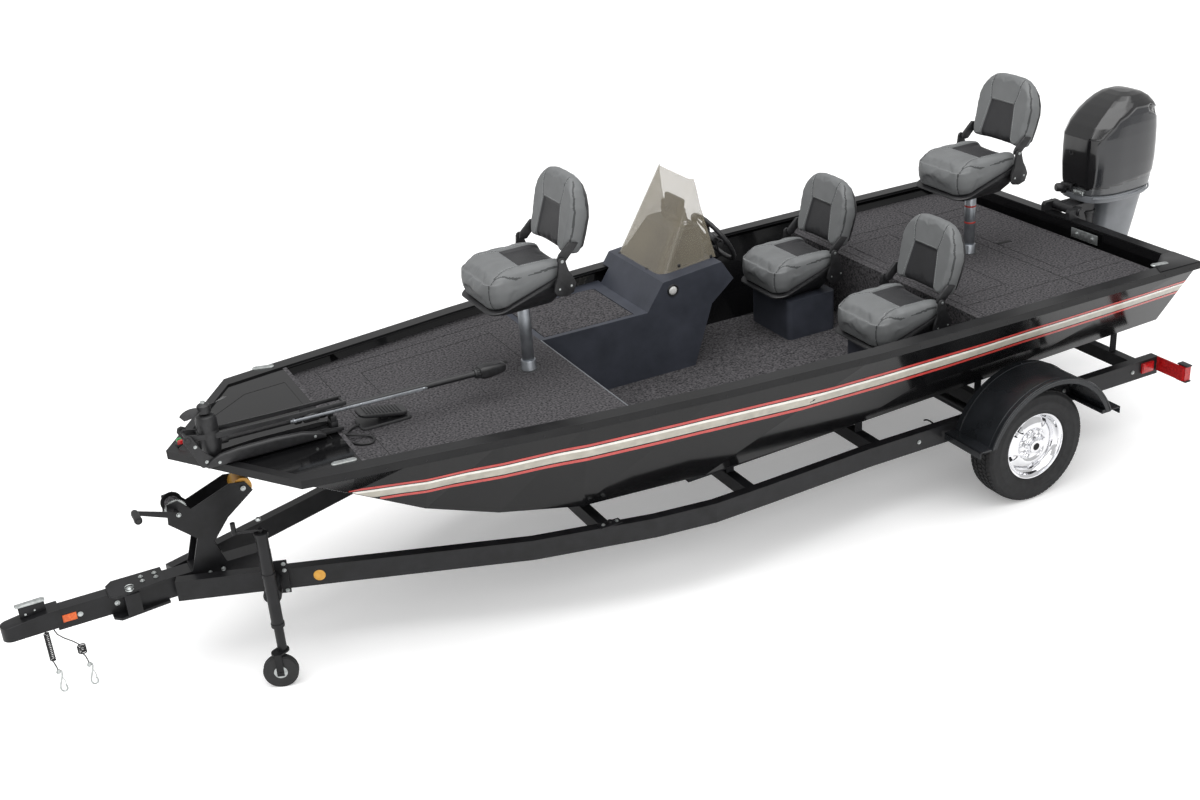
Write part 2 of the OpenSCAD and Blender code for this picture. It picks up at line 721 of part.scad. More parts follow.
// Bunks carry the hull's bottom on edge, on posts from the crossmembers
bunk_y = 545;
bunk_t = 38;
bunk_x0 = -960;
bunk_x1 = 1790;
function keel_at(x) = lookup(x, [for (s = stations) [s[0], s[st_keel_z]]]);
function chine_at(x) = lookup(x, [for (s = stations) [s[0], s[st_chine_z]]]);
function bottom_at(x, y) = keel_at(x) + (chine_at(x) - keel_at(x)) * y / 737;
module bunks() {
    color(carpet) place() mirrored() {
        difference() {
            side([
                [bunk_x0, bottom_at(bunk_x0, bunk_y) - 89], [bunk_x1, bottom_at(bunk_x1, bunk_y) - 89],
                [bunk_x1, bottom_at(bunk_x1, bunk_y) + 10], [bunk_x0, bottom_at(bunk_x0, bunk_y) + 10]
            ], bunk_y - bunk_t / 2, bunk_y + bunk_t / 2);
            hull_bottom();
        }
        for (x = [for (i = [0:3]) cross_x[i]])
            box([x - 20, bunk_y + bunk_t / 2, rail_low + 75 + fit], [x + 20, bunk_y + bunk_t / 2 + 8, bottom_at(x, bunk_y) - 30]);
    }
}
module hull_bottom() loft([for (s = stations) ring(s, -fit, sheer_z + 60)], 7);

spindle_d = 40;
module axle() {
    color(steel) place() {
        rod([0, -wheel_y + 60, tyre_d / 2], [0, wheel_y - 60, tyre_d / 2], 60, 32);
        mirrored() {
            rod([0, wheel_y - 70, tyre_d / 2], [0, wheel_y + 40, tyre_d / 2], spindle_d, 48);
            // Leaf spring under the rail with its two hangers
            side([[-330, 352], [-150, 322], [150, 322], [330, 352], [330, 362], [150, 336], [-150, 336], [-330, 362]],
                rail_out - 50, rail_out);
            for (x = [-330, 330])
                box([x - 15, rail_out - 50, 350], [x + 15, rail_out, rail_low - fit]);
            box([-40, rail_out - 50, tyre_d / 2 + 20], [40, rail_out, 345]);
        }
    }
}
// Half section of a tyre, in radius and width
module tyre(y) {
    r = tyre_d / 2;
    bead = rim_d / 2;
    place() translate([0, y, r]) rotate([90, 0, 0]) rotate_extrude($fn = 96) polygon([
        [bead, -tyre_w / 2 + 20], [bead + 15, -tyre_w / 2 + 6], [bead + 50, -tyre_w / 2],
        [r - 30, -tyre_w / 2 + 5], [r - 10, -tyre_w / 2 + 18], [r, -tyre_w / 2 + 36],
        [r, tyre_w / 2 - 36], [r - 10, tyre_w / 2 - 18], [r - 30, tyre_w / 2 - 5],
        [bead + 50, tyre_w / 2], [bead + 15, tyre_w / 2 - 6], [bead, tyre_w / 2 - 20]
    ]);
}
module rim(y, out) {
    bore = spindle_d / 2 + 0.05;
    edge = rim_d / 2 - fit;
    place() translate([0, y, tyre_d / 2]) rotate([-90 * out, 0, 0]) {
        difference() {
            rotate_extrude($fn = 96) polygon([
                [bore, -12], [34, -12], [38, 16], [70, 14], [95, 32], [135, 40], [150, 12], [156, -62],
                [edge, -68], [edge, -60], [163, -54], [161, 48], [edge, 62], [edge, 70], [160, 68],
                [153, 44], [138, 50], [94, 42], [70, 24], [42, 26], [40, 70], [28, 76], [bore, 76]
            ]);
            for (a = [0:72:359]) rotate([0, 0, a]) translate([116, 0, 20]) cylinder(d = 34, h = 60);
        }
    }
}
module tyre_port() color(black) tyre(wheel_y);
module tyre_starboard() color(black) tyre(-wheel_y);
module rim_port() color(silver) rim(wheel_y, 1);
module rim_starboard() color(silver) rim(-wheel_y, -1);

fender_foot = 440;
fender_in_y = 800;
module fenders() {
    color(black) place() mirrored() {
        difference() {
            rod([0, fender_in_y + fit + 6, tyre_d / 2], [0, fender_in_y + fender_w, tyre_d / 2], 2 * fender_r, 128);
            rod([0, fender_in_y - 10, tyre_d / 2], [0, fender_in_y + fender_w - 6, tyre_d / 2], 2 * fender_r - 12, 128);
            rod([0, fender_in_y - 10, tyre_d / 2], [0, fender_in_y + fender_w + 10, tyre_d / 2], 2 * fender_r - 50, 128);
            box([-500, 0, -200], [500, 1300, fender_foot]);
        }
        // Brackets out from the rail
        for (x = [-380, 380])
            box([x - 25, rail_out + fit, fender_foot - 20], [x + 25, fender_in_y + fender_w - 30, fender_foot - fit]);
    }
}
lamp_reach = 180;
module tail_lamps() {
    color([0.6, 0.05, 0.05]) place() mirrored() {
        box([-1000, rail_out + fit, rail_low + 20], [-992, rail_out + lamp_reach, rail_top]);
        box([-1040, rail_out + lamp_reach - 40, rail_low + 20], [-1000, rail_out + lamp_reach + 10, rail_top]);
        box([-960, rail_out + fit, rail_low + 30], [-880, rail_out + 12, rail_top - 15]);
    }
}

// Swing-up jack on the outer face of the port rail, where the rail runs in towards the tongue
jack_x = 3740;
jack_rail_y = lookup(jack_x, rail_line);
jack_turn = atan2(350 - 92, 4150 - 3470);
jack_out = 165;
jack_tube = 54;
jack_pivot_z = 450;
jack_disc = 24;
caster_x = 19;
caster_y = 20;
module on_rail() place() translate([jack_x, jack_rail_y, 0]) rotate([0, 0, -jack_turn]) children();
module jack_bracket() {
    color(steel) on_rail() {
        box([-60, fit, rail_low - 15], [60, 10, rail_top + 50]);
        rod([0, 5, jack_pivot_z], [0, jack_out - jack_tube / 2 - jack_disc - fit, jack_pivot_z], 60, 48);
        rod([0, 5, jack_pivot_z], [0, jack_out - jack_tube / 2 - 6, jack_pivot_z], 20, 48);
    }
}
module jack_leg() {
    color(steel) on_rail() {
        difference() {
            rod([0, jack_out - jack_tube / 2 - jack_disc, jack_pivot_z], [0, jack_out, jack_pivot_z], 80, 48);
            rod([0, 0, jack_pivot_z], [0, jack_out - jack_tube / 2 - 5, jack_pivot_z], 20 + 2 * fit, 48);
        }
        translate([0, jack_out, 300]) cylinder(d = jack_tube, h = 470);
        translate([0, jack_out, 172]) cylinder(d = 42, h = 140);
        // Fork over the caster wheel
        hull() {
            translate([0, jack_out, 166]) cylinder(d = 60, h = 8, $fn = 32);
            translate([caster_x, jack_out + caster_y, 166]) cylinder(d = 60, h = 8, $fn = 32);
        }
        for (y = [-29, 24])
            box([caster_x - 16, jack_out + caster_y + y, jack_wheel_d / 2 - 14],
                [caster_x + 16, jack_out + caster_y + y + 5, 172]);
        rod([caster_x, jack_out + caster_y - 32, jack_wheel_d / 2],
            [caster_x, jack_out + caster_y + 32, jack_wheel_d / 2], 12, 32);
        // Crank on top
        translate([0, jack_out, 768]) cylinder(d = 20, h = 22);
        rod([0, jack_out, 782], [110, jack_out, 782], 12);
        translate([110, jack_out, 776]) cylinder(d = 22, h = 56);
    }
}
module jack_wheel() {
    color(black) on_rail() translate([caster_x, jack_out + caster_y, jack_wheel_d / 2])
        rotate([90, 0, 0]) difference() {
            cylinder(d = jack_wheel_d, h = 38, center = true);
            cylinder(d = 12 + 2 * fit, h = 60, center = true);
        }
}

winch_c = [4074, 0, 803];
drum_w = 90;
// The roller takes the stem of the hull
roller_x = 3773;
roller_d = 88;
roller_z = keel_at(roller_x) - roller_d / 2 / cos(30) - 1;
module winch_stand() {
    color(steel) place() difference() {
        mirrored() side([
            [3900, rail_top + fit], [4060, rail_top + fit], [4010, 640], [4120, 745], [4110, 840], [4060, 845],
            [4010, 790], [3830, 860], [3760, 850], [3730, 800], [3860, 700], [3940, 600]
        ], drum_w / 2 + 4, drum_w / 2 + 10);
        rod(winch_c - [0, 100, 0], winch_c + [0, 100, 0], 16 + 2 * fit, 32);
    }
    color(steel) place() {
        box([3900, -drum_w / 2 - 10, rail_top + fit], [4060, drum_w / 2 + 10, rail_top + 8]);
        rod([roller_x, -drum_w / 2 - 8, roller_z], [roller_x, drum_w / 2 + 8, roller_z], 16, 32);
        rod([3930, -drum_w / 2 - 8, 700], [3930, drum_w / 2 + 8, 700], 20, 32);
    }
}
module winch_drum() {
    color(steel) place() translate(winch_c) rotate([90, 0, 0]) {
        cylinder(d = 40, h = drum_w - 4, center = true);
        for (z = [-drum_w / 2 + 2, drum_w / 2 - 8]) translate([0, 0, z]) cylinder(d = 96, h = 6);
        // Shaft and crank on the port side
        translate([0, 0, -drum_w / 2 - 60]) cylinder(d = 16, h = drum_w + 80);
    }
    color(steel) place() {
        side([[4060, 790], [4090, 790], [4260, 860], [4260, 880], [4075, 816]], drum_w / 2 + 50, drum_w / 2 + 56);
        rod([4252, drum_w / 2 + 50, 868], [4252, drum_w / 2 + 140, 868], 30);
    }
}
module bow_roller() {
    color([0.85, 0.64, 0.25]) place() translate([roller_x, 0, roller_z]) rotate([90, 0, 0]) difference() {
        cylinder(d = roller_d, h = drum_w + 2, center = true);
        cylinder(d = 16 + 2 * fit, h = 200, center = true);
    }
}

// Swing-away tongue with its coupler
tongue_w = 64;
tongue_low = rail_low + 14;
tongue_top = rail_top - fit;
module tongue() {
    color(steel) place() difference() {
        union() {
            plate([[beam_x1 + 4, -tongue_w / 2], [4660, -tongue_w / 2], [4660, tongue_w / 2],
                [4370, tongue_w / 2], [4370, 86], [beam_x1 + 4, 86]], rail_low + fit, tongue_top);
            hull() {
                box([4640, -44, 400], [4700, 44, 486]);
                translate([nose_x - 42, 0, 396]) cylinder(r = 42, h = 68);
            }
            box([4690, -12, 480], [4800, 12, 530]);
        }
        // Socket for the ball, open below
        translate([nose_x - 44, 0, 380]) cylinder(d = ball_d + 1, h = 62);
        translate([swing_x, 62, 300]) cylinder(d = 20 + 2 * fit, h = 300);
    }
}

// Safety cables: points down each one, with the radius over its coils
cable_port = [
    [4715, 26, 397.6, 9], [4715, 26, 385, 13], [4715, 26, 300, 13], [4715, 26, 240, 13], [4715, 26, 225, 9],
    [4709, 28, 205, 4], [4705, 30, 191.5, 4]
];
cable_starboard = [
    [4680, 30, 398.6, 4], [4680, 30, 388, 4], [4672, 34, 365, 4], [4650, 38, 341, 4], [4622, 42, 318, 4], [4604, 44, 300, 4],
    [4590, 45, 286, 20], [4590, 45, 244, 20], [4584, 46, 228, 4], [4578, 47, 205, 4], [4575, 48, 191.3, 4]
];
// A tube swept along its points
function sweep_ring(line, i, n) = let (
    a = line[max(i - 1, 0)],
    b = line[min(i + 1, len(line) - 1)],
    t = [b[0] - a[0], b[1] - a[1], b[2] - a[2]] / norm([b[0] - a[0], b[1] - a[1], b[2] - a[2]]),
    u = cross(t, [0, 1, 0]) / norm(cross(t, [0, 1, 0])),
    v = cross(t, u),
    p = line[i]
) [for (k = [0:n - 1]) [p[0], p[1], p[2]] + p[3] * (cos(360 * k / n) * u + sin(360 * k / n) * v)];
module sweep(line) loft([for (i = [0:len(line) - 1]) sweep_ring(line, i, 10)], 10);
module safety_cable_port() color(black) place() sweep(cable_port);
module safety_cable_starboard() color(black) place() sweep(cable_starboard);
// Hooks at the lower ends of the cables
hook_d = 8;
module safety_hooks() color(silver) place()
    for (c = [[4705, 30], [4575, 48]]) translate([c[0], c[1], 0]) difference() {
        translate([0, 0, 125]) rotate([90, 0, 0]) hull() {
            translate([0, 52, 0]) cylinder(d = 26, h = hook_d, center = true, $fn = 32);
            translate([-6, -40, 0]) cylinder(d = 32, h = hook_d, center = true, $fn = 32);
        }
        translate([0, 0, 125]) rotate([90, 0, 0]) hull() {
            translate([0, 48, 0]) cylinder(d = 12, h = 20, center = true, $fn = 24);
            translate([-6, -40, 0]) cylinder(d = 17, h = 20, center = true, $fn = 24);
        }
    }

boat_hull();
gunwale();
bow_plate();
front_deck();
cockpit_floor();
aft_deck();
aft_lid();
locker_lid();
console();
console_lid();
windscreen();
instruments();
steering_wheel();
throttle_control();
pedestals();
seat_boxes();
front_pan();
front_cushion();
front_back();
rear_pan();
rear_cushion();
rear_back();
cockpit_pans();
cockpit_cushions();
helm_back();
passenger_back();
outboard_bracket();
outboard_swivel();
outboard_cowl();
powerhead();
outboard_leg();
propeller();
troll_mount();
troll_motor();
troll_propeller();
foot_pedal();
frame_rails();
crossmembers();
bunks();
axle();
tyre_port();
rim_port();
tyre_starboard();
rim_starboard();
fenders();
tail_lamps();
jack_bracket();
jack_leg();
jack_wheel();
winch_stand();
winch_drum();
bow_roller();
tongue();
safety_cable_port();
safety_cable_starboard();
safety_hooks();
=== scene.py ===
import bpy
import bmesh
import math
from mathutils import Matrix, Vector
from mathutils.bvhtree import BVHTree


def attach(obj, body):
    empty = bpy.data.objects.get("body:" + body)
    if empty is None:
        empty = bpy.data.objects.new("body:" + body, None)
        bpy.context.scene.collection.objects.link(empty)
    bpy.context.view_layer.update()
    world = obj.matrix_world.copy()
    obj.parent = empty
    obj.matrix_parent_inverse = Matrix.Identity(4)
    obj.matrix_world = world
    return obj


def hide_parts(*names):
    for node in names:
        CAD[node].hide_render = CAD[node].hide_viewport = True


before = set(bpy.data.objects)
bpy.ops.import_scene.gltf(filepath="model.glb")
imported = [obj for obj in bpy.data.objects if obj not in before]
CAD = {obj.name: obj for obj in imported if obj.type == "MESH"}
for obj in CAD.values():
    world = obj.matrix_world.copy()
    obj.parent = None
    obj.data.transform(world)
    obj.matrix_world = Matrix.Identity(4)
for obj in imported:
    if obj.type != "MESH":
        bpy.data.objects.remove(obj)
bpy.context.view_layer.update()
# Lengths below are from the trailer's axle; the row frame's middle lies this far forward of it
MID = 1.644
FORWARD = Vector((MID, 0, 0))
BOAT = "boat_and_trailer"
# Heights of the two decks, the bow plate and the gunwale cap
FRONT_DECK, AFT_DECK, BOW_TOP, CAP_TOP = 1.0, 0.99, 1.06, 1.068
SEAM_LIFT = 0.0003

# Camera, worked out from the photo: focal length and picture size in its pixels
FOCAL, PIC_W, PIC_H = 1513.2, 1200, 800


def look(pos, yaw, pitch, roll):
    fwd = Vector((math.cos(pitch) * math.cos(yaw), math.cos(pitch) * math.sin(yaw), math.sin(pitch)))
    right = fwd.cross(Vector((0, 0, 1))).normalized()
    up = right.cross(fwd)
    cx = right * math.cos(roll) + up * math.sin(roll)
    cy = up * math.cos(roll) - right * math.sin(roll)
    m = Matrix((cx, cy, -fwd)).transposed().to_4x4()
    m.translation = pos
    return m


cam = bpy.data.objects.new("camera", bpy.data.cameras.new("camera"))
bpy.context.scene.collection.objects.link(cam)
cam.matrix_world = look(Vector((4.8941 - MID, 6.1406, 3.9444)), -2.017, -0.4413, -0.0747)
cam.data.sensor_width = 36.0
cam.data.lens = FOCAL / PIC_W * cam.data.sensor_width
cam.data.clip_end = 200
bpy.context.scene.camera = cam


# Materials
def rgb(text):
    out = []
    for i in (0, 2, 4):
        c = int(text[i:i + 2], 16) / 255
        out.append(c / 12.92 if c <= 0.04045 else ((c + 0.055) / 1.055) ** 2.4)
    return (*out, 1.0)


def material(name, low, high, scale=30.0, rough=0.5, spread=0.08, bump=0.1, grain=400.0, depth=0.001,
             metal=0.0, coat=0.0, spec=0.5, alpha=1.0, cells=False, paint=None):
    """Two colours mixed by noise, a varying roughness and a fine bump; paint is a vertex colour layer."""
    m = bpy.data.materials.new(name)
    m.use_nodes = True
    nt = m.node_tree
    new, link = nt.nodes.new, nt.links.new
    bsdf = nt.nodes["Principled BSDF"]
    bsdf.inputs["Metallic"].default_value = metal
    bsdf.inputs["Coat Weight"].default_value = coat
    bsdf.inputs["Coat Roughness"].default_value = 0.08
    bsdf.inputs["Specular IOR Level"].default_value = spec
    bsdf.inputs["Alpha"].default_value = alpha
    where = new("ShaderNodeTexCoord")
    tint = new("ShaderNodeTexNoise")
    tint.inputs["Scale"].default_value = scale
    tint.inputs["Detail"].default_value = 5
    link(where.outputs["Object"], tint.inputs["Vector"])
    ramp = new("ShaderNodeValToRGB")
    ramp.color_ramp.elements[0].position = 0.32
    ramp.color_ramp.elements[1].position = 0.68
    ramp.color_ramp.elements[0].color = rgb(low)
    ramp.color_ramp.elements[1].color = rgb(high)
    link(tint.outputs["Fac"], ramp.inputs["Fac"])
    colour = ramp.outputs["Color"]
    if paint:
        layer = new("ShaderNodeAttribute")
        layer.attribute_name = paint
        times = new("ShaderNodeMix")
        times.data_type = "RGBA"
        times.blend_type = "MULTIPLY"
        times.inputs["Factor"].default_value = 1.0
        link(colour, times.inputs["A"])
        link(layer.outputs["Color"], times.inputs["B"])
        colour = times.outputs["Result"]
    link(colour, bsdf.inputs["Base Color"])
    vary = new("ShaderNodeMapRange")
    vary.inputs["To Min"].default_value = max(rough - spread, 0.02)
    vary.inputs["To Max"].default_value = min(rough + spread, 1.0)
    link(tint.outputs["Fac"], vary.inputs["Value"])
    link(vary.outputs["Result"], bsdf.inputs["Roughness"])
    fine = new("ShaderNodeTexVoronoi" if cells else "ShaderNodeTexNoise")
    fine.inputs["Scale"].default_value = grain
    link(where.outputs["Object"], fine.inputs["Vector"])
    lift = new("ShaderNodeBump")
    lift.inputs["Strength"].default_value = bump
    lift.inputs["Distance"].default_value = depth
    link(fine.outputs["Distance" if cells else "Fac"], lift.inputs["Height"])
    link(lift.outputs["Normal"], bsdf.inputs["Normal"])
    return m


M = {"hull": material("hull paint", "0b0b0c", "101011", 6, 0.12, 0.03, 0.02, 60, coat=0.12, spec=0.25),
     "cap": material("cap paint", "141415", "1a1a1b", 12, 0.3, 0.05, 0.04, 200, spec=0.25),
     "carpet": material("marine carpet", "262628", "605e60", 95, 0.97, 0.02, 0.9, 380, 0.004, spec=0.08),
     "plastic": material("moulded console", "30333b", "3b3e47", 9, 0.5, 0.05, 0.25, 900, 0.0006, spec=0.4),
     "black": material("black plastic", "161617", "222224", 60, 0.45, 0.1, 0.2, 900, 0.0005),
     # Near black: seams, gaps and flush pulls, and the painted shade in the wheels' slots and hub bores
     "dark": material("dark void", "060606", "0c0c0c", 40, 0.8, 0.1, 0.1, 300),
     "vinyl": material("seat vinyl", "ffffff", "f2f2f2", 14, 0.52, 0.05, 0.3, 1500, 0.0004, spec=0.4,
                       cells=True, paint="tone"),
     "thread": material("thread", "9a9d9e", "b4b7b7", 200, 0.7, 0.05, 0.1, 900),
     "tube": material("satin tube", "8f9398", "a9adb2", 20, 0.35, 0.06, 0.05, 500, metal=0.9),
     "chrome": material("chrome", "d9dadd", "f0f0f2", 8, 0.07, 0.03, 0.02, 40, metal=1.0),
     "zinc": material("zinc plate", "a3a7a6", "c6cac9", 60, 0.33, 0.08, 0.08, 700, metal=0.85),
     "cowl": material("cowl", "ffffff", "f4f4f4", 5, 0.2, 0.03, 0.02, 60, coat=0.5, paint="tone"),
     "grey": material("leg paint", "6b6e72", "7c7f83", 7, 0.35, 0.05, 0.05, 300, coat=0.2),
     "iron": material("engine block", "2c2c2e", "3a3a3c", 30, 0.6, 0.1, 0.3, 300, metal=0.4),
     "frame": material("trailer paint", "141415", "1d1d1f", 14, 0.34, 0.06, 0.12, 350, 0.0006, spec=0.28),
     "fender": material("fender", "191b1d", "212326", 10, 0.25, 0.05, 0.05, 300, spec=0.35),
     "bunk": material("bunk carpet", "202022", "3a3a3c", 250, 0.95, 0.03, 0.8, 600, 0.002, spec=0.1),
     "tyre": material("tyre", "1c1c1d", "282829", 40, 0.72, 0.08, 0.35, 500, 0.0006, spec=0.35),
     "rubber": material("rubber", "151516", "202021", 60, 0.6, 0.08, 0.2, 500),
     "amber": material("amber roller", "c98c2c", "e0ab4a", 25, 0.4, 0.06, 0.1, 300),
     "red": material("red lens", "8c0c10", "c01a1c", 90, 0.15, 0.04, 0.4, 260, 0.001, coat=0.3),
     "green": material("green lens", "0c6a32", "128a44", 90, 0.15, 0.04, 0.4, 260, 0.001, coat=0.3),
     "orange": material("orange reflector", "c8501c", "e06a28", 120, 0.2, 0.04, 0.6, 420, 0.001),
     "white": material("white plastic", "c9c9c6", "dedddb", 30, 0.35, 0.05, 0.05, 300),
     "stripe_red": material("stripe red", "b23a36", "c24a44", 20, 0.25, 0.04, 0.02, 100, coat=0.3),
     "stripe_white": material("stripe white", "dcd8d0", "ece8e0", 20, 0.25, 0.04, 0.02, 100, coat=0.3),
     "stripe_silver": material("stripe silver", "a19c90", "b6b1a4", 20, 0.3, 0.04, 0.05, 400, coat=0.3),
     "glass": material("smoke screen", "8d8678", "99917f", 3, 0.04, 0.01, 0.01, 10, alpha=0.42, spec=0.5),
     "panel": material("dash panel", "1c1c1e", "262628", 30, 0.35, 0.05, 0.1, 500),}
# The material slot that each finish goes with, where a part names no other
SLOT_OF = {"black": "black_plastic", "zinc": "zinc_steel", "chrome": "wheel_chrome", "grey": "leg_grey",
           "tyre": "tyre", "frame": "trailer_black", "fender": "trailer_black", "cap": "hull_black",
           "dark": "black_plastic", "red": "lamp_red", "orange": "lamp_red", "green": "lamp_red",
           "amber": "roller_amber", "tube": "silver_tube", "panel": "smoke_screen", "white": "wheel_chrome",
           "thread": "seat_vinyl", "rubber": "cable_black"}

# The CAD nodes that stay get their own finish
FINISH = {"boat_hull": "hull", "gunwale": "cap", "bow_plate": "hull", "front_deck": "carpet",
          "cockpit_floor": "carpet", "aft_deck": "carpet", "aft_lid": "carpet", "locker_lid": "carpet",
          "console": "plastic", "console_lid": "carpet", "windscreen": "glass", "instruments": "panel",
          "steering_wheel": "black", "throttle_control": "black", "pedestals": "tube",
          "seat_boxes": "plastic", "front_pan": "black", "front_cushion": "vinyl", "front_back": "vinyl",
          "rear_pan": "black", "rear_cushion": "vinyl", "rear_back": "vinyl", "cockpit_pans": "black",
          "cockpit_cushions": "vinyl", "helm_back": "vinyl", "passenger_back": "vinyl",
          "outboard_bracket": "black", "outboard_swivel": "black", "outboard_cowl": "cowl",
          "powerhead": "iron", "outboard_leg": "grey", "propeller": "black", "troll_mount": "black",
          "troll_motor": "black", "troll_propeller": "black", "foot_pedal": "black", "frame_rails": "frame",
          "crossmembers": "frame", "bunks": "bunk", "axle": "frame", "tyre_port": "tyre",
          "rim_port": "chrome", "tyre_starboard": "tyre", "rim_starboard": "chrome", "fenders": "fender",
          "tail_lamps": "red", "jack_bracket": "frame", "jack_leg": "frame", "jack_wheel": "rubber",
          "winch_stand": "frame", "winch_drum": "frame", "bow_roller": "amber", "tongue": "frame",
          "safety_cable_port": "rubber", "safety_cable_starboard": "rubber", "safety_hooks": "zinc",}
for node_name, key in FINISH.items():
    mesh = CAD[node_name].data
    mesh.materials.clear()
    mesh.materials.append(M[key])


# Mesh helpers
class Part:
    """Collects solids of one material on one body, and turns them into one object."""

    def __init__(self, name, body, finish, stands_for=(), slot=None):
        self.name, self.body, self.mat, self.stands_for = name, body, M[finish], stands_for
        self.slot = slot or SLOT_OF[finish]
        self.bm = bmesh.new()

    def mesh(self, verts, faces, m=None):
        new = [self.bm.verts.new(m @ Vector(v) if m else Vector(v)) for v in verts]
        for f in faces:
            try:
                self.bm.faces.new([new[i] for i in f])
            except ValueError:
                pass
        return new

    def box(self, low, high, bevel=0.0, m=None, seg=2):
        """A block between two corners, given in any order."""
        bm = bmesh.new()
        bmesh.ops.create_cube(bm, size=1.0)
        size = [abs(h - l) for l, h in zip(low, high)]
        mid = [(h + l) / 2 for l, h in zip(low, high)]
        for v in bm.verts:
            v.co = Vector([v.co[i] * size[i] + mid[i] for i in range(3)])
        if bevel:
            bmesh.ops.bevel(bm, geom=bm.edges[:], offset=bevel, segments=seg, profile=0.5, affect="EDGES")
        self.take(bm, m)

    def take(self, bm, m=None):
        bm.verts.ensure_lookup_table()
        bm.verts.index_update()
        self.mesh([v.co.copy() for v in bm.verts], [[v.index for v in f.verts] for f in bm.faces], m)
        bm.free()

    def tube(self, points, r, n=12, cap=True, closed=False):
        """A tube along points; r is one radius or one for each point."""
        pts = [Vector(p) for p in points]
        k = len(pts)
        rad = r if isinstance(r, (list, tuple)) else [r] * k
        verts = []
        side = None
        for i, p in enumerate(pts):
            if closed:
                t = pts[(i + 1) % k] - pts[i - 1]
            else:
                t = pts[min(i + 1, k - 1)] - pts[max(i - 1, 0)]
            t.normalize()
            if side is None:
                side = t.cross(Vector((0, 0, 1)))
                if side.length < 0.1:
                    side = t.cross(Vector((0, 1, 0)))
            side = (side - t * side.dot(t)).normalized()
            other = t.cross(side)
            for a in turns(n):
                verts.append(p + (side * math.cos(a) + other * math.sin(a)) * rad[i])
        faces = []
        for i in range(k if closed else k - 1):
            for j in range(n):
                a, b = i * n, ((i + 1) % k) * n
                faces.append([a + j, a + (j + 1) % n, b + (j + 1) % n, b + j])
        if cap and not closed:
            faces.append(list(range(n))[::-1])
            faces.append([(k - 1) * n + j for j in range(n)])
        self.mesh(verts, faces)

    def rod(self, a, b, d, n=20, d2=None, bevel=0.0):
        a, b = Vector(a), Vector(b)
        r1, r2 = d / 2, (d if d2 is None else d2) / 2
        if bevel:
            u = (b - a).normalized() * bevel
            self.tube([a, a + u, b - u, b], [r1 - bevel, r1, r2, r2 - bevel], n)
        else:
            self.tube([a, b], [r1, r2], n)

    def lathe(self, profile, mid, axis, n=48):
        """profile holds (radius, height) pairs along axis from mid; an end of radius 0 is closed."""
        axis = Vector(axis).normalized()
        side = axis.orthogonal().normalized()
        other = axis.cross(side)
        mid = Vector(mid)
        verts = []
        for r, h in profile:
            for a in turns(n):
                verts.append(mid + axis * h + (side * math.cos(a) + other * math.sin(a)) * max(r, 1e-5))
        faces = [[i * n + j, i * n + (j + 1) % n, (i + 1) * n + (j + 1) % n, (i + 1) * n + j]
                 for i in range(len(profile) - 1) for j in range(n)]
        self.mesh(verts, faces)

    def prism(self, outline, axis, low, high, bevel=0.0, m=None):
        """An outline in the two other axes, made solid between two values of axis, given in any order."""
        low, high = sorted((low, high))
        bm = bmesh.new()
        put = {"x": lambda a, b, c: (c, a, b),
               "y": lambda a, b, c: (a, c, b),
               "z": lambda a, b, c: (a, b, c)}[axis]
        lo = [bm.verts.new(put(a, b, low)) for a, b in outline]
        hi = [bm.verts.new(put(a, b, high)) for a, b in outline]
        bm.faces.new(lo[::-1])
        bm.faces.new(hi)
        k = len(outline)
        for i in range(k):
            bm.faces.new([lo[i], lo[(i + 1) % k], hi[(i + 1) % k], hi[i]])
        if bevel:
            bmesh.ops.bevel(bm, geom=bm.edges[:], offset=bevel, segments=2, profile=0.5, affect="EDGES")
        self.take(bm, m)

    def bolt(self, at, axis, d=0.014, h=0.006):
        axis = Vector(axis).normalized()
        at = Vector(at)
        self.rod(at, at + axis * h * 0.3, d * 1.5, 14)
        self.tube([at, at + axis * h * 0.9, at + axis * h], [d / 2, d / 2, d * 0.42], 6)

    def done(self, sharp=38, weld=True):
        bm = self.bm
        if weld:
            bmesh.ops.remove_doubles(bm, verts=bm.verts[:], dist=1e-6)
        bmesh.ops.recalc_face_normals(bm, faces=bm.faces[:])
        limit = math.radians(sharp)
        for e in bm.edges:
            e.smooth = len(e.link_faces) == 2 and e.calc_face_angle(0) < limit
        for f in bm.faces:
            f.smooth = True
        for v in bm.verts:
            v.co.x -= MID
        mesh = bpy.data.meshes.new(self.name)
        bm.to_mesh(mesh)
        bm.free()
        mesh.materials.append(self.mat)
        return finish_piece(bpy.data.objects.new(self.name, mesh), self.body, self.stands_for)


def finish_piece(obj, body, stands_for=()):
    if obj.name not in bpy.context.scene.collection.objects:
        bpy.context.scene.collection.objects.link(obj)
    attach(obj, body)
    if stands_for:
        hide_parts(*stands_for)
    return obj


def smooth(a, b, x):
    t = min(max((x - a) / (b - a), 0.0), 1.0)
    return t * t * (3 - 2 * t)


def lerp(points, x):
    """Straight lines between (x, value) pairs."""
    if x <= points[0][0]:
        return points[0][1]
    for (x0, y0), (x1, y1) in zip(points, points[1:]):
        if x <= x1:
            return y0 + (y1 - y0) * (x - x0) / (x1 - x0)
    return points[-1][1]


def curve(points, steps=6):
    """A smooth line through points."""
    p = [Vector(q) for q in points]
    p = [p[0] * 2 - p[1]] + p + [p[-1] * 2 - p[-2]]
    out = []
    for i in range(1, len(p) - 2):
        for s in range(steps):
            t = s / steps
            a, b, c, d = p[i - 1], p[i], p[i + 1], p[i + 2]
            out.append(0.5 * (2 * b + (c - a) * t + (2 * a - 5 * b + 4 * c - d) * t * t
                              + (3 * b - a - 3 * c + d) * t ** 3))
    out.append(p[-2])
    return out


def turns(n, start=0.0):
    """n equal steps round a circle."""
    return [start + 2 * math.pi * i / n for i in range(n)]


def polar(r, a, y=0.0):
    """A point round the Y axis."""
    return Vector((r * math.cos(a), y, r * math.sin(a)))


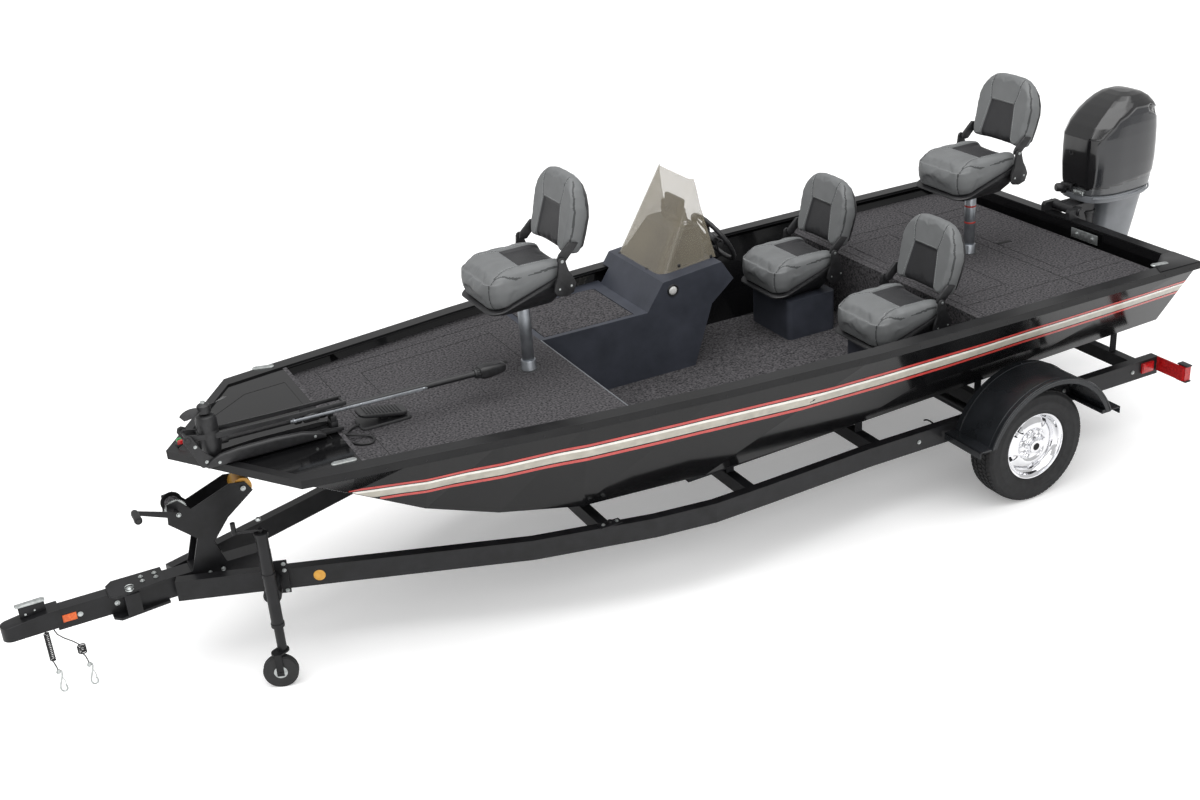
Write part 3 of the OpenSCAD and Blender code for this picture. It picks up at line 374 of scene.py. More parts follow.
def mirrored(line):
    """A half outline of (x, y) with its other half; its last point is on the middle."""
    return line + [(x, -y) for x, y in reversed(line[:-1])]


def whole(shape):
    """A closed outline of (y, z) from (height, half width) pairs that end on the middle."""
    half = [(w, h) for h, w in shape]
    return half + [(-w, h) for w, h in reversed(half[:-1])]


# Hull form, as in the CAD
STATIONS = [(-1.025, 0.98, 0.737, 0.665, 0.595), (0.0, 0.978, 0.737, 0.635, 0.562),
            (0.97, 0.96, 0.735, 0.603, 0.528), (1.78, 0.89, 0.715, 0.572, 0.5),
            (2.4, 0.815, 0.655, 0.572, 0.496), (2.78, 0.75, 0.59, 0.63, 0.515),
            (3.1, 0.698, 0.54, 0.73, 0.59), (3.41, 0.652, 0.5, 0.885, 0.7), (3.64, 0.612, 0.59, 1.045, 0.8),
            (4.05, 0.006, 0.005, 1.045, 1.03)]
SHEER_Z = 1.06


def station(x, i):
    return lerp([(s[0], s[i]) for s in STATIONS], x)


# Side stripes, laid on the plates
def tree_of(*names):
    bm = bmesh.new()
    for n in names:
        bm.from_mesh(CAD[n].data)
    tree = BVHTree.FromBMesh(bm)
    bm.free()
    return tree


def hit(tree, origin, direction):
    """The first point of a surface along a ray, in metres from the axle."""
    o = Vector(origin) - FORWARD
    at = tree.ray_cast(o, Vector(direction).normalized())[0]
    return at + FORWARD if at else None


HULL = tree_of("boat_hull")
STRIPE_TOP = [(-1.03, 0.946), (-0.2, 0.932), (0.9, 0.926), (1.86, 0.941), (2.52, 0.939), (3.2, 0.915),
              (3.44, 0.906)]
STRIPE_LOW = [(-1.03, 0.856), (-0.2, 0.838), (0.9, 0.824), (1.86, 0.843), (2.52, 0.845), (3.2, 0.83),
              (3.31, 0.823)]
BANDS = [(0.0, 0.15, "stripe_red"), (0.21, 0.36, "stripe_white"), (0.36, 0.76, "stripe_silver"),
         (0.83, 1.0, "stripe_red")]
STRIPE_LIFT = 0.0012
STRIPE_REAR, STRIPE_FRONT, STRIPE_STEPS = -1.022, 3.44, 240
for side in (1, -1):
    for k, (a, b, key) in enumerate(BANDS):
        band = Part("stripe_%d_%d" % (k, side > 0), BOAT, key, slot="hull_black")
        rows = []
        for i in range(STRIPE_STEPS + 1):
            x = STRIPE_REAR + i * (STRIPE_FRONT - STRIPE_REAR) / STRIPE_STEPS
            top, low = lerp(STRIPE_TOP, x), lerp(STRIPE_LOW, x)
            z0, z1 = top + (low - top) * b, top + (low - top) * a
            chine = station(x, 3) + 0.004
            if z1 <= chine + 0.001:
                break
            row = [hit(HULL, (x, 2 * side, z), (0, -side, 0)) for z in (max(z0, chine), z1)]
            if None in row:
                continue
            rows.append([(v.x, v.y + side * STRIPE_LIFT, v.z) for v in row])
        verts = [v for r in rows for v in r]
        band.mesh(verts, [[2 * i, 2 * i + 2, 2 * i + 3, 2 * i + 1] for i in range(len(rows) - 1)])
        band.done()

# Seats
# Each seat stands on its pedestal or box; lengths are from the middle of the foot of its pan
SEATS = {"front": (2.32, 0.0, 1.35), "rear": (-0.35, 0.0, 1.34), "helm": (0.5, -0.45, 0.85),
         "passenger": (0.5, 0.45, 0.85)}
HINGE = Vector((-0.112, 0.0, 0.238))
LEAN = Matrix.Translation(HINGE) @ Matrix.Rotation(math.radians(-14), 4, "Y")
LIGHT = (0.142, 0.147, 0.149)
DARK = (0.026, 0.026, 0.028)
SEAM = (0.045, 0.047, 0.048)
VOXEL = 0.0085
SWELL = 0.01
PRESSURE = 4.0
FRAMES = 20
CUSHION_MID, CUSHION_TOP = 0.038, 0.211


def puff(bm):
    """Fills a closed form with Cloth pressure, and keeps each point within SWELL of where it was."""
    mesh = bpy.data.meshes.new("pad")
    bm.to_mesh(mesh)
    bm.free()
    obj = bpy.data.objects.new("pad", mesh)
    bpy.context.scene.collection.objects.link(obj)
    bpy.context.view_layer.objects.active = obj
    rm = obj.modifiers.new("remesh", "REMESH")
    rm.mode = "VOXEL"
    rm.voxel_size = VOXEL
    for o in bpy.context.selected_objects:
        o.select_set(False)
    obj.select_set(True)
    bpy.ops.object.modifier_apply(modifier="remesh")
    start = [v.co.copy() for v in obj.data.vertices]
    cl = obj.modifiers.new("cloth", "CLOTH")
    cl.settings.use_pressure = True
    cl.settings.uniform_pressure_force = PRESSURE
    cl.settings.effector_weights.gravity = 0
    cl.settings.quality = 5
    cl.point_cache.frame_start = 1
    cl.point_cache.frame_end = FRAMES
    scene = bpy.context.scene
    for f in range(1, FRAMES + 1):
        scene.frame_set(f)
    bpy.ops.object.modifier_apply(modifier="cloth")
    scene.frame_set(1)
    for v, s in zip(obj.data.vertices, start):
        d = v.co - s
        if d.length > SWELL:
            v.co = s + d * (SWELL / d.length)
    sub = obj.modifiers.new("sub", "SUBSURF")
    sub.levels = 1
    bpy.ops.object.modifier_apply(modifier="sub")
    bm = bmesh.new()
    bm.from_mesh(obj.data)
    bpy.data.objects.remove(obj)
    return bm


def near(px, py, line):
    """Distance from a point to a line of points in the plane."""
    best = 9.0
    for (ax, ay), (bx, by) in zip(line, line[1:]):
        dx, dy = bx - ax, by - ay
        t = min(max(((px - ax) * dx + (py - ay) * dy) / (dx * dx + dy * dy), 0), 1)
        best = min(best, math.hypot(px - ax - t * dx, py - ay - t * dy))
    return best


def cut(bm, line, put):
    """New edges along a line of points, so that two colours meet in a clean line."""
    for a, b in zip(line, line[1:]):
        pa, pb = Vector(put(*a)), Vector(put(*b))
        flat = (pb - pa).cross(Vector(NORMAL[put]))
        lo = [min(pa[i], pb[i]) - 0.012 for i in range(3)]
        hi = [max(pa[i], pb[i]) + 0.012 for i in range(3)]
        k = max(range(3), key=lambda i: abs(NORMAL[put][i]))
        lo[k], hi[k] = -9, 9
        geom = [f for f in bm.faces if all(lo[i] < f.calc_center_median()[i] < hi[i] for i in range(3))]
        geom += list({e for f in geom for e in f.edges}) + list({v for f in geom for v in f.verts})
        bmesh.ops.bisect_plane(bm, geom=geom, plane_co=pa, plane_no=flat, dist=1e-5)


def on_top(a, b):
    return (a, b, 0.0)


def on_front(a, b):
    return (0.0, a, b)


NORMAL = {on_top: (0, 0, 1), on_front: (1, 0, 0)}


def tone(bm, mesh_name, colour_of):
    """Gives each face one colour, and turns the form into a mesh."""
    mesh = bpy.data.meshes.new(mesh_name)
    layer = bm.loops.layers.float_color.new("tone")
    for f in bm.faces:
        c = (*colour_of(f.calc_center_median(), f), 1.0)
        for loop in f.loops:
            loop[layer] = c
        f.smooth = True
    bm.to_mesh(mesh)
    bm.free()
    return mesh


def form(rings):
    """A closed form from rings of equal length."""
    bm = bmesh.new()
    vr = [[bm.verts.new(p) for p in r] for r in rings]
    n = len(vr[0])
    for a, b in zip(vr, vr[1:]):
        for j in range(n):
            bm.faces.new([a[j], a[(j + 1) % n], b[(j + 1) % n], b[j]])
    bm.faces.new(vr[0][::-1])
    bm.faces.new(vr[-1])
    return bm


def rounded(hx, hy, r, n=8):
    """A rounded rectangle about the origin."""
    out = []
    for cx, cy, a0 in ((hx - r, hy - r, 0), (r - hx, hy - r, 90), (r - hx, r - hy, 180),
                       (hx - r, r - hy, 270)):
        for k in range(n + 1):
            a = math.radians(a0 + 90 * k / n)
            out.append((cx + r * math.cos(a), cy + r * math.sin(a)))
    return out


def both(line):
    return [line, [(x, -y) for x, y in line]]


def stitch(bm, lines, put, depth, length=0.0045, gap=0.004):
    """Thread lying on the pad: small flat beads along each line, found by rays from the front."""
    tree = BVHTree.FromBMesh(bm)
    n = Vector(NORMAL[put])
    out = bmesh.new()
    for line in lines:
        for a, b in zip(line, line[1:]):
            pa, pb = Vector(put(*a)), Vector(put(*b))
            d = (pb - pa)
            steps = max(int(d.length / (length + gap)), 1)
            d.normalize()
            w = n.cross(d) * 0.0007
            for i in range(steps):
                c = pa + (pb - pa) * ((i + 0.5) / steps)
                ends = []
                for s in (-0.5, 0.5):
                    at = tree.ray_cast(c + d * length * s + n * 0.8, -n)[0]
                    if at is not None and at.dot(n) > depth:
                        ends.append(at + n * 0.0005)
                if len(ends) == 2:
                    v = [out.verts.new(e + q) for e in ends for q in (w, -w)]
                    up = [out.verts.new(e + n * 0.0009) for e in ends]
                    for f in ((v[0], v[2], up[1], up[0]), (v[3], v[1], up[0], up[1]), (v[1], v[0], up[0]),
                              (v[2], v[3], up[1])):
                        out.faces.new(f)
    return out


CUSHION_INSERT = [(-0.172, 0.128), (0.048, 0.12), (0.048, -0.12), (-0.172, -0.128)]
FRONT_SEAM = [(0.048, 0.12), (0.11, 0.135), (0.17, 0.152), (0.24, 0.158)]
CUSHION_GUSSET = [(-0.168, 0.184), (0.06, 0.19), (0.14, 0.18), (0.2, 0.155)]
# Lower edge of a cushion's side by length: low at the rolled front, high where the pan rises to the brackets
CUSHION_FOOT = [(-0.18, 0.158), (-0.11, 0.142), (0.0, 0.098), (0.11, 0.062), (0.25, 0.04)]


def cushion_mesh():
    rings = []
    # share of the height, half length, half width
    for t, hx, hy in ((0.0, 0.19, 0.184), (0.06, 0.2, 0.194), (0.25, 0.208, 0.202), (0.5, 0.209, 0.203),
                      (0.8, 0.205, 0.198), (0.94, 0.192, 0.186), (1.0, 0.172, 0.168)):
        ring = []
        for x, y in rounded(hx, hy, 0.078):
            foot = lerp(CUSHION_FOOT, CUSHION_MID + x)
            ring.append((CUSHION_MID + x, y, foot + (CUSHION_TOP - foot) * t))
        rings.append(ring)
    bm = puff(form(rings))
    cut(bm, CUSHION_INSERT, on_top)
    for v in bm.verts:
        x, y, z = v.co
        top = smooth(0.172, 0.2, z)
        half = lerp([(-0.172, 0.128), (0.048, 0.12)], x)
        inside = smooth(half + 0.004, half - 0.014, abs(y)) * smooth(0.054, 0.034, x) * top
        v.co.z -= 0.014 * inside
        # Rolled front edge and side bolsters
        v.co.z -= 0.026 * top * smooth(0.09, 0.25, x) ** 2
        bolster = smooth(0.1, 0.15, abs(y)), smooth(0.22, 0.08, x), smooth(0.205, 0.18, abs(y))
        v.co.z += 0.008 * top * bolster[0] * bolster[1] * bolster[2]
        d = near(x, y, CUSHION_INSERT)
        d = min([d] + [near(x, y, s) for s in both(FRONT_SEAM)])
        dg = near(x, abs(y), CUSHION_GUSSET)
        v.co.z -= top * (0.0045 * max(0.0, 1 - d / 0.008) + 0.0035 * max(0.0, 1 - dg / 0.008))
        # The seams run on down the rolled front
        df = abs(abs(y) - 0.158) if x > 0.2 else 9
        v.co.x -= 0.0035 * max(0.0, 1 - df / 0.008) * smooth(0.205, 0.23, x)
    threads = stitch(bm, [[(a, b * k) for a, b in FRONT_SEAM[:3]] for k in (0.94, -0.94)]
                     + [[(0.056, 0.112), (0.056, -0.112)], [(-0.15, 0.137), (0.05, 0.129)],
                        [(-0.15, -0.137), (0.05, -0.129)]], on_top, 0.17)

    def colour(c, f):
        x, y, z = c
        top = z > 0.172 and f.normal.z > 0.3
        half = lerp([(-0.172, 0.128), (0.048, 0.12)], x)
        if top and x < 0.048 and abs(y) < half:
            return DARK
        d = min([near(x, y, s) for s in both(FRONT_SEAM)] + [near(x, abs(y), CUSHION_GUSSET)])
        front = x > 0.2 and f.normal.z <= 0.6 and abs(abs(y) - 0.158) < 0.0024
        return SEAM if (top and d < 0.0024) or front else LIGHT

    return tone(bm, "cushion", colour), threads


BACK_INSERT = [(0.118, 0.018), (0.088, 0.228), (-0.088, 0.228), (-0.118, 0.018)]
BACK_WING = [(0.088, 0.228), (0.104, 0.29), (0.106, 0.375)]
BACK_EDGE = [(0.186, 0.02), (0.198, 0.12), (0.2, 0.22), (0.186, 0.28), (0.15, 0.338), (0.106, 0.375)]
# Half width of a back by height over the hinge
BACK_SHAPE = [(0.016, 0.15), (0.018, 0.182), (0.028, 0.196), (0.06, 0.206), (0.12, 0.212), (0.2, 0.216),
              (0.245, 0.214), (0.29, 0.2), (0.325, 0.18), (0.352, 0.154), (0.37, 0.122), (0.38, 0.08),
              (0.384, 0.0)]


def back_mesh():
    """The front face looks to +X, and heights are over the hinge."""
    rings = []
    for t, k in ((0.0, 0.88), (0.07, 0.95), (0.25, 0.99), (0.5, 1.0), (0.75, 0.99), (0.92, 0.95),
                 (1.0, 0.88)):
        ring = []
        for y, z in whole(BACK_SHAPE):
            rear = lerp([(0.02, -0.122), (0.2, -0.122), (0.39, -0.092)], z)
            ring.append((rear + (-0.032 - rear) * t, y * k, 0.2 + (z - 0.2) * (1 - (1 - k) * 0.7)))
        rings.append(ring)
    bm = puff(form(rings))
    cut(bm, BACK_INSERT + BACK_INSERT[:1], on_front)
    for v in bm.verts:
        x, y, z = v.co
        face = smooth(-0.062, -0.04, x)
        half = lerp([(0.018, 0.118), (0.228, 0.088)], z)
        inside = smooth(half + 0.004, half - 0.014, abs(y)) * smooth(0.234, 0.216, z) * face
        v.co.x -= 0.012 * inside
        bolster = smooth(0.11, 0.15, abs(y)), smooth(0.36, 0.26, z), smooth(0.21, 0.18, abs(y))
        v.co.x += 0.006 * face * bolster[0] * bolster[1] * bolster[2]
        d = min([near(y, z, BACK_INSERT)] + [near(abs(y), z, BACK_WING)])
        dg = near(abs(y), z, BACK_EDGE)
        v.co.x -= face * (0.0045 * max(0.0, 1 - d / 0.008) + 0.0035 * max(0.0, 1 - dg / 0.008))
        v.co.x = min(v.co.x, -0.0255)
    threads = stitch(bm, [[(0.08, 0.236), (-0.08, 0.236)]]
                     + [[(s * a, b) for a, b in line] for s in (1, -1)
                        for line in ([(0.126, 0.04), (0.096, 0.22)],
                                     [(0.096, 0.238), (0.111, 0.29), (0.113, 0.36)])], on_front, -0.09)

    def colour(c, f):
        x, y, z = c
        front = x > -0.07 and f.normal.x > 0.3
        half = lerp([(0.018, 0.118), (0.228, 0.088)], z)
        if front and z < 0.228 and abs(y) < half:
            return DARK
        d = min(near(abs(y), z, BACK_WING), near(abs(y), z, BACK_EDGE))
        return SEAM if front and d < 0.0022 else LIGHT

    return tone(bm, "back", colour), threads


CUSHION, CUSHION_THREAD = cushion_mesh()
BACK, BACK_THREAD = back_mesh()


def place_pad(name, mesh, m, body, nodes):
    mesh = mesh.copy()
    mesh.transform(Matrix.Translation(-FORWARD) @ m)
    mesh.materials.clear()
    mesh.materials.append(M["vinyl"])
    obj = finish_piece(bpy.data.objects.new(name, mesh), body, nodes)
    return obj


def seat_pan(p, m, z_pin):
    """Moulded pan under the cushion, with the bracket ears and their pins."""
    rings = []
    # share of the way up to the cushion, half length, half width, middle, corner radius
    for t, hx, hy, mid, r in ((0.0, 0.105, 0.112, 0.005, 0.04), (0.08, 0.128, 0.132, 0.01, 0.045),
                              (0.4, 0.172, 0.172, 0.026, 0.055), (0.8, 0.203, 0.198, 0.036, 0.065),
                              (1.0, 0.209, 0.205, 0.038, 0.075), (1.12, 0.206, 0.202, 0.038, 0.075)):
        rings.append([(mid + x, y, 0.001 + t * (lerp(CUSHION_FOOT, mid + x) - 0.004))
                      for x, y in rounded(hx, hy, r)])
    p.take(form(rings), m)
    # Ribs under the pan
    for i in range(5):
        x = -0.1 + i * 0.065
        p.box((x - 0.003, -0.1 - 0.01 * i, 0.006), (x + 0.003, 0.1 + 0.01 * i, 0.012), 0.001, m)
    for s in (1, -1):
        ear = [(-0.16, 0.078), (-0.12, 0.066), (-0.08, 0.074), (-0.062, 0.1), (-0.07, 0.135),
               (-0.088, 0.165), (-0.093, 0.236), (-0.099, 0.249), (-0.112, 0.2535), (-0.125, 0.249),
               (-0.131, 0.236), (-0.14, 0.185), (-0.16, 0.16), (-0.176, 0.12)]
        p.prism(ear, "y", s * 0.2245, s * 0.2375, 0.003, m)
        p.box((-0.15, s * 0.166, 0.084), (-0.094, s * 0.226, 0.128), 0.003, m)
        p.rod(m @ Vector((HINGE.x, s * 0.2, HINGE.z)), m @ Vector((HINGE.x, s * 0.23, HINGE.z)), z_pin, 20)


BACK_ARM = [(-0.029, -0.01), (-0.01, -0.0155), (0.008, -0.0125), (0.0115, 0.004), (0.006, 0.024),
            (-0.016, 0.056), (-0.033, 0.084), (-0.082, 0.084), (-0.06, 0.045)]
SHELL_SHAPE = [(0.03, 0.15), (0.055, 0.18), (0.12, 0.19), (0.2, 0.194), (0.25, 0.19), (0.3, 0.17),
               (0.338, 0.132), (0.356, 0.08), (0.361, 0.0)]
SHELL_REAR = [(0.02, -0.127), (0.2, -0.127), (0.39, -0.097)]
# The CAD nodes that each seat's cushion and pan stand for; the helm's hold both seats of the cockpit
CUSHION_NODES = {"front": ("front_cushion",), "rear": ("rear_cushion",), "helm": ("cockpit_cushions",),
                 "passenger": ()}
PAN_NODES = {"front": ("front_pan",), "rear": ("rear_pan",), "helm": ("cockpit_pans",), "passenger": ()}
for name, at in SEATS.items():
    m = Matrix.Translation(at)
    ride = {"front": "front_seat", "rear": "rear_seat"}.get(name, BOAT)
    back = name + "_seat_back"
    place_pad(name + "_cushion_pad", CUSHION, m, ride, CUSHION_NODES[name])
    place_pad(name + "_back_pad", BACK, m @ LEAN, back, (name + "_back",))
    pan = Part(name + "_seat_pan", ride, "black", PAN_NODES[name])
    seat_pan(pan, m, 0.0098)
    pan.done()
    back_shell = Part(name + "_back_shell", back, "black")
    for s in (1, -1):
        back_shell.prism(BACK_ARM, "y", s * 0.1995, s * 0.2145, 0.0025, m @ LEAN)
    rows = []
    for t, k in ((-0.006, 0.9), (-0.004, 0.97), (0.004, 1.0), (0.012, 0.99)):
        rows.append([(lerp(SHELL_REAR, z) + t, y * k, 0.19 + (z - 0.19) * k)
                     for y, z in whole(SHELL_SHAPE)])
    back_shell.take(form(rows), m @ LEAN)
    back_shell.done()
    screws = Part(name + "_hinge_screws", ride, "zinc", slot="black_plastic")
    for s in (1, -1):
        screws.bolt(m @ Vector((HINGE.x, s * 0.2375, HINGE.z)), (0, s, 0), 0.01, 0.0035)
        for dx, dz in ((-0.038, -0.125), (0.022, -0.13)):
            screws.bolt(m @ Vector((HINGE.x + dx, s * 0.2375, HINGE.z + dz)), (0, s, 0), 0.007, 0.002)
    screws.done()
    for what, thread, where, body in (("cushion", CUSHION_THREAD, m, ride),
                                      ("back", BACK_THREAD, m @ LEAN, back)):
        stitching = Part("%s_%s_stitching" % (name, what), body, "thread")
        stitching.take(thread.copy(), where)
        stitching.done(weld=False)
CUSHION_THREAD.free()
BACK_THREAD.free()

# Outboard
# Levels of the cowl, as in the CAD: height, front, rear, half width
COWL = [(1.176, -1.097, -1.578, 0.173), (1.25, -1.088, -1.59, 0.18), (1.33, -1.083, -1.598, 0.184),
        (1.42, -1.082, -1.598, 0.185), (1.5, -1.085, -1.595, 0.184), (1.56, -1.122, -1.587, 0.18),
        (1.61, -1.172, -1.571, 0.171), (1.65, -1.222, -1.549, 0.155), (1.68, -1.268, -1.52, 0.134),
        (1.702, -1.31, -1.484, 0.107), (1.715, -1.345, -1.44, 0.07), (1.719, -1.38, -1.41, 0.02)]
# Half plan of a level: share of its length from the front, share of its half width
COWL_PLAN = [(0.0, 0.0), (0.0, 0.28), (0.004, 0.5), (0.022, 0.6), (0.085, 0.775), (0.18, 0.915),
             (0.3, 0.99), (0.45, 1.0), (0.62, 0.985), (0.77, 0.92), (0.89, 0.79), (0.965, 0.56),
             (0.995, 0.28), (1.0, 0.0)]
SKIRT_LINE = [(-1.6, 1.252), (-1.35, 1.238), (-1.08, 1.214)]
PANEL_TOP = [(-1.6, 1.56), (-1.555, 1.6), (-1.47, 1.64), (-1.36, 1.645), (-1.24, 1.59), (-1.14, 1.5),
             (-1.115, 1.47)]
SWIVEL_X, PROP_Z = -1.19, 0.4
GLOSS = (0.0065, 0.0065, 0.0072)
SATIN = (0.02, 0.021, 0.024)
SKIRT = (0.085, 0.088, 0.092)
SHADE = (0.003, 0.003, 0.003)


def level(plan, steps, z, front, rear, half):
    """One level of the motor: a half plan stretched to its front, rear and half width, and mirrored."""
    line = curve([(a, b, 0) for a, b in plan], steps)
    side = [(front + (rear - front) * v.x, half * max(v.y, 0), z) for v in line]
    return side + [(x, -y, z) for x, y, z in side[-2:0:-1]]


def cowl_row(z):
    return level(COWL_PLAN, 6, z, *(lerp([(c[0], c[i]) for c in COWL], z) for i in (1, 2, 3)))


bm = form([cowl_row(min(v.x, COWL[-1][0])) for v in curve([(c[0], 0, 0) for c in COWL], 9)])
for v in bm.verts:
    x, y, z = v.co
    side = smooth(0.085, 0.12, abs(y))
    top = lerp(PANEL_TOP, x)
    panel = side * smooth(top + 0.004, top - 0.008, z) * smooth(-1.112, -1.124, x)
    skirt = smooth(lerp(SKIRT_LINE, x) + 0.002, lerp(SKIRT_LINE, x) - 0.002, z)
    out = Vector((0.15 * (x + 1.35), y, 0)).normalized()
    v.co -= out * (0.006 * panel + 0.004 * skirt)
    # Raised rim of the top band, and the intake behind it
    v.co += out * 0.004 * side * smooth(0.022, 0.0, abs(z - top - 0.018)) * smooth(-1.13, -1.17, x)
    below = smooth(0.026, 0.014, abs(z - top + 0.014))
    scoop = side * smooth(-1.455, -1.475, x) * smooth(-1.58, -1.565, x) * below
    v.co -= out * 0.016 * scoop
    groove = max(0.0, 1 - abs(z - lerp(SKIRT_LINE, x)) / 0.005)
    v.co -= out * 0.004 * groove


def cowl_colour(c, f):
    x, y, z = c
    line, top = lerp(SKIRT_LINE, x), lerp(PANEL_TOP, x)
    if abs(z - line) < 0.0035:
        return SHADE
    if z < line:
        return SKIRT
    if abs(y) > 0.1 and -1.572 < x < -1.462 and abs(z - top + 0.014) < 0.019:
        return SHADE
    if abs(y) > 0.098 and z < top and x < -1.116:
        return SATIN
    return GLOSS


mesh = tone(bm, "cowl", cowl_colour)
mesh.transform(Matrix.Translation(-FORWARD))
mesh.materials.append(M["cowl"])
finish_piece(bpy.data.objects.new("outboard_cowl_shell", mesh), "outboard_head",
             ("outboard_cowl",))

# Leg: height, front, rear, half width
LEG = [(1.174, -1.09, -1.577, 0.17), (1.15, -1.089, -1.577, 0.171), (1.139, -1.092, -1.575, 0.168),
       (1.1345, -1.1, -1.572, 0.16), (1.132, -1.246, -1.569, 0.118), (1.11, -1.249, -1.566, 0.106),
       (1.06, -1.251, -1.556, 0.096), (0.96, -1.252, -1.534, 0.086), (0.84, -1.251, -1.504, 0.073),
       (0.73, -1.25, -1.476, 0.061), (0.66, -1.243, -1.456, 0.051), (0.6, -1.234, -1.441, 0.041),
       (0.585, -1.233, -1.44, 0.04)]
LEG_PLAN = [(0.0, 0.0), (0.0, 0.3), (0.02, 0.56), (0.1, 0.84), (0.28, 1.0), (0.55, 1.0), (0.8, 0.86),
            (0.94, 0.56), (0.995, 0.28), (1.0, 0.0)]
SHANK = [(0.574, -1.232, -1.438, 0.038), (0.52, -1.224, -1.43, 0.031), (0.47, -1.214, -1.423, 0.026),
         (0.442, -1.208, -1.424, 0.026)]
leg_shell = Part("outboard_leg_shell", "outboard_head", "grey", ("outboard_leg",))
for rows in (LEG, SHANK):
    leg_shell.take(form([level(LEG_PLAN, 4, *row) for row in rows]))
# Plate over the propeller, with a smaller splash plate above it
plate = [(-1.204, 0.03), (-1.225, 0.062), (-1.29, 0.092), (-1.4, 0.106), (-1.525, 0.109), (-1.539, 0.098),
         (-1.54, 0.0)]
leg_shell.prism(mirrored(plate), "z", 0.573, 0.583, 0.002)
splash = [(-1.238, 0.03), (-1.262, 0.056), (-1.33, 0.07), (-1.44, 0.07), (-1.452, 0.06), (-1.452, 0.0)]
leg_shell.prism(mirrored(splash), "z", 0.655, 0.661, 0.002)
# Gearcase, pointed at the front, its skeg and the trim tab
leg_shell.lathe([(0.0, 0.06), (0.006, 0.058), (0.014, 0.048), (0.026, 0.024), (0.036, -0.006),
                 (0.043, -0.04), (0.047, -0.09), (0.0485, -0.16), (0.0485, -0.23), (0.047, -0.262),
                 (0.044, -0.266), (0.0, -0.266)], (-1.195, 0, PROP_Z), (1, 0, 0), 40)
leg_shell.prism([(-1.432, 0.362), (-1.235, 0.362), (-1.262, 0.33), (-1.296, 0.272), (-1.33, 0.246),
                 (-1.38, 0.236), (-1.416, 0.237), (-1.424, 0.262)], "y", -0.0085, 0.0085, 0.003)
leg_shell.prism([(-1.52, 0.573), (-1.47, 0.573), (-1.476, 0.53), (-1.505, 0.52), (-1.522, 0.54)], "y",
                -0.006, 0.006, 0.002)
for s in (1, -1):
    # Ribs round the water inlets, and the bead along the skirt
    for i in range(4):
        z = 0.52 - i * 0.014
        leg_shell.box((-1.29, s * 0.0315 - 0.003, z), (-1.24, s * 0.0315 + 0.003, z + 0.005), 0.0015)
    leg_shell.tube(curve([(-1.11, s * 0.128, 1.166), (-1.2, s * 0.168, 1.163), (-1.35, s * 0.1735, 1.16),
                          (-1.48, s * 0.16, 1.162), (-1.56, s * 0.092, 1.166)], 6), 0.005, 8)
leg_shell.rod((SWIVEL_X, 0, 0.76), (SWIVEL_X, 0, 1.136), 0.046, 32)
leg_shell.prism([(-1.305, 0.728), (-1.19, 0.742), (-1.168, 0.76), (-1.19, 0.786), (-1.305, 0.792)], "y",
                -0.04, 0.04, 0.006)
leg_shell.rod((-1.455, 0, PROP_Z), (-1.594, 0, PROP_Z), 0.0196, 24, bevel=0.002)
leg_shell.done()
trim = Part("outboard_trim", "outboard_head", "black")
for s in (1, -1):
    for i in range(6):
        z = 0.5125 - i * 0.014
        trim.box((-1.284, s * 0.0325 - 0.0015, z), (-1.246, s * 0.0325 + 0.0015, z + 0.003))
    # Clamp rubbers along the mid-section
    trim.prism([(-1.262, 0.842), (-1.33, 0.836), (-1.338, 0.884), (-1.262, 0.89)], "y", s * 0.066,
               s * 0.0805, 0.006)
trim.lathe([(0.01, 0.0), (0.013, 0.001), (0.015, 0.0), (0.015, -0.002)], (-1.0815, -0.03, 1.405), (1, 0, 0),
           24)
# Latch on the front of the cowl, the rigging grommet and its plate
trim.box((-1.092, -0.06, 1.2), (-1.066, -0.006, 1.226), 0.006)
trim.lathe([(0.0, 0.052), (0.02, 0.052), (0.024, 0.046), (0.026, 0.02), (0.034, 0.014), (0.034, 0.0),
            (0.0, 0.0)], (-1.1, -0.085, 1.185), (0.86, -0.3, 0.1), 24)
trim.done()
outboard_steel = Part("outboard_steel", "outboard_head", "zinc")
outboard_steel.box((-1.096, 0.004, 1.176), (-1.08, 0.076, 1.2), 0.003)
for y in (0.02, 0.062):
    outboard_steel.bolt((-1.08, y, 1.188), (1, 0, 0), 0.009, 0.005)
outboard_steel.done()

# Bolts, pivot caps and hoses of the bracket, and collars of the swivel
bracket_detail = Part("outboard_bracket_detail", BOAT, "black")
for s in (1, -1):
    for z in (0.8, 0.86):
        bracket_detail.bolt((-1.03 - 0.078, s * 0.096, z + 0.02), (-1, 0, 0), 0.017, 0.01)
    bracket_detail.lathe([(0.0, 0.008), (0.02, 0.008), (0.023, 0.004), (0.023, 0.0), (0.0, 0.0)],
                         (-1.035, s * 0.111, 1.101), (0, s, 0), 28)
    bracket_detail.tube(curve([(-1.068, s * 0.096, 0.99), (-1.084, s * 0.096, 0.9),
                               (-1.08, s * 0.096, 0.79)], 5), 0.011, 10)
bracket_detail.done()
swivel_detail = Part("outboard_swivel_detail", "outboard_swivel", "black")
swivel_detail.lathe([(0.0455, 0.0), (0.049, 0.003), (0.049, 0.016), (0.0455, 0.019)], (SWIVEL_X, 0, 0.812),
                    (0, 0, 1), 36)
swivel_detail.lathe([(0.0455, 0.0), (0.05, 0.004), (0.05, 0.02), (0.0455, 0.024)], (SWIVEL_X, 0, 1.04),
                    (0, 0, 1), 36)
for s in (1, -1):
    swivel_detail.prism([(-1.15, 1.06), (-1.07, 1.08), (-1.066, 1.094), (-1.16, 1.092)], "y", s * 0.03,
                        s * 0.04, 0.003)
swivel_detail.done()

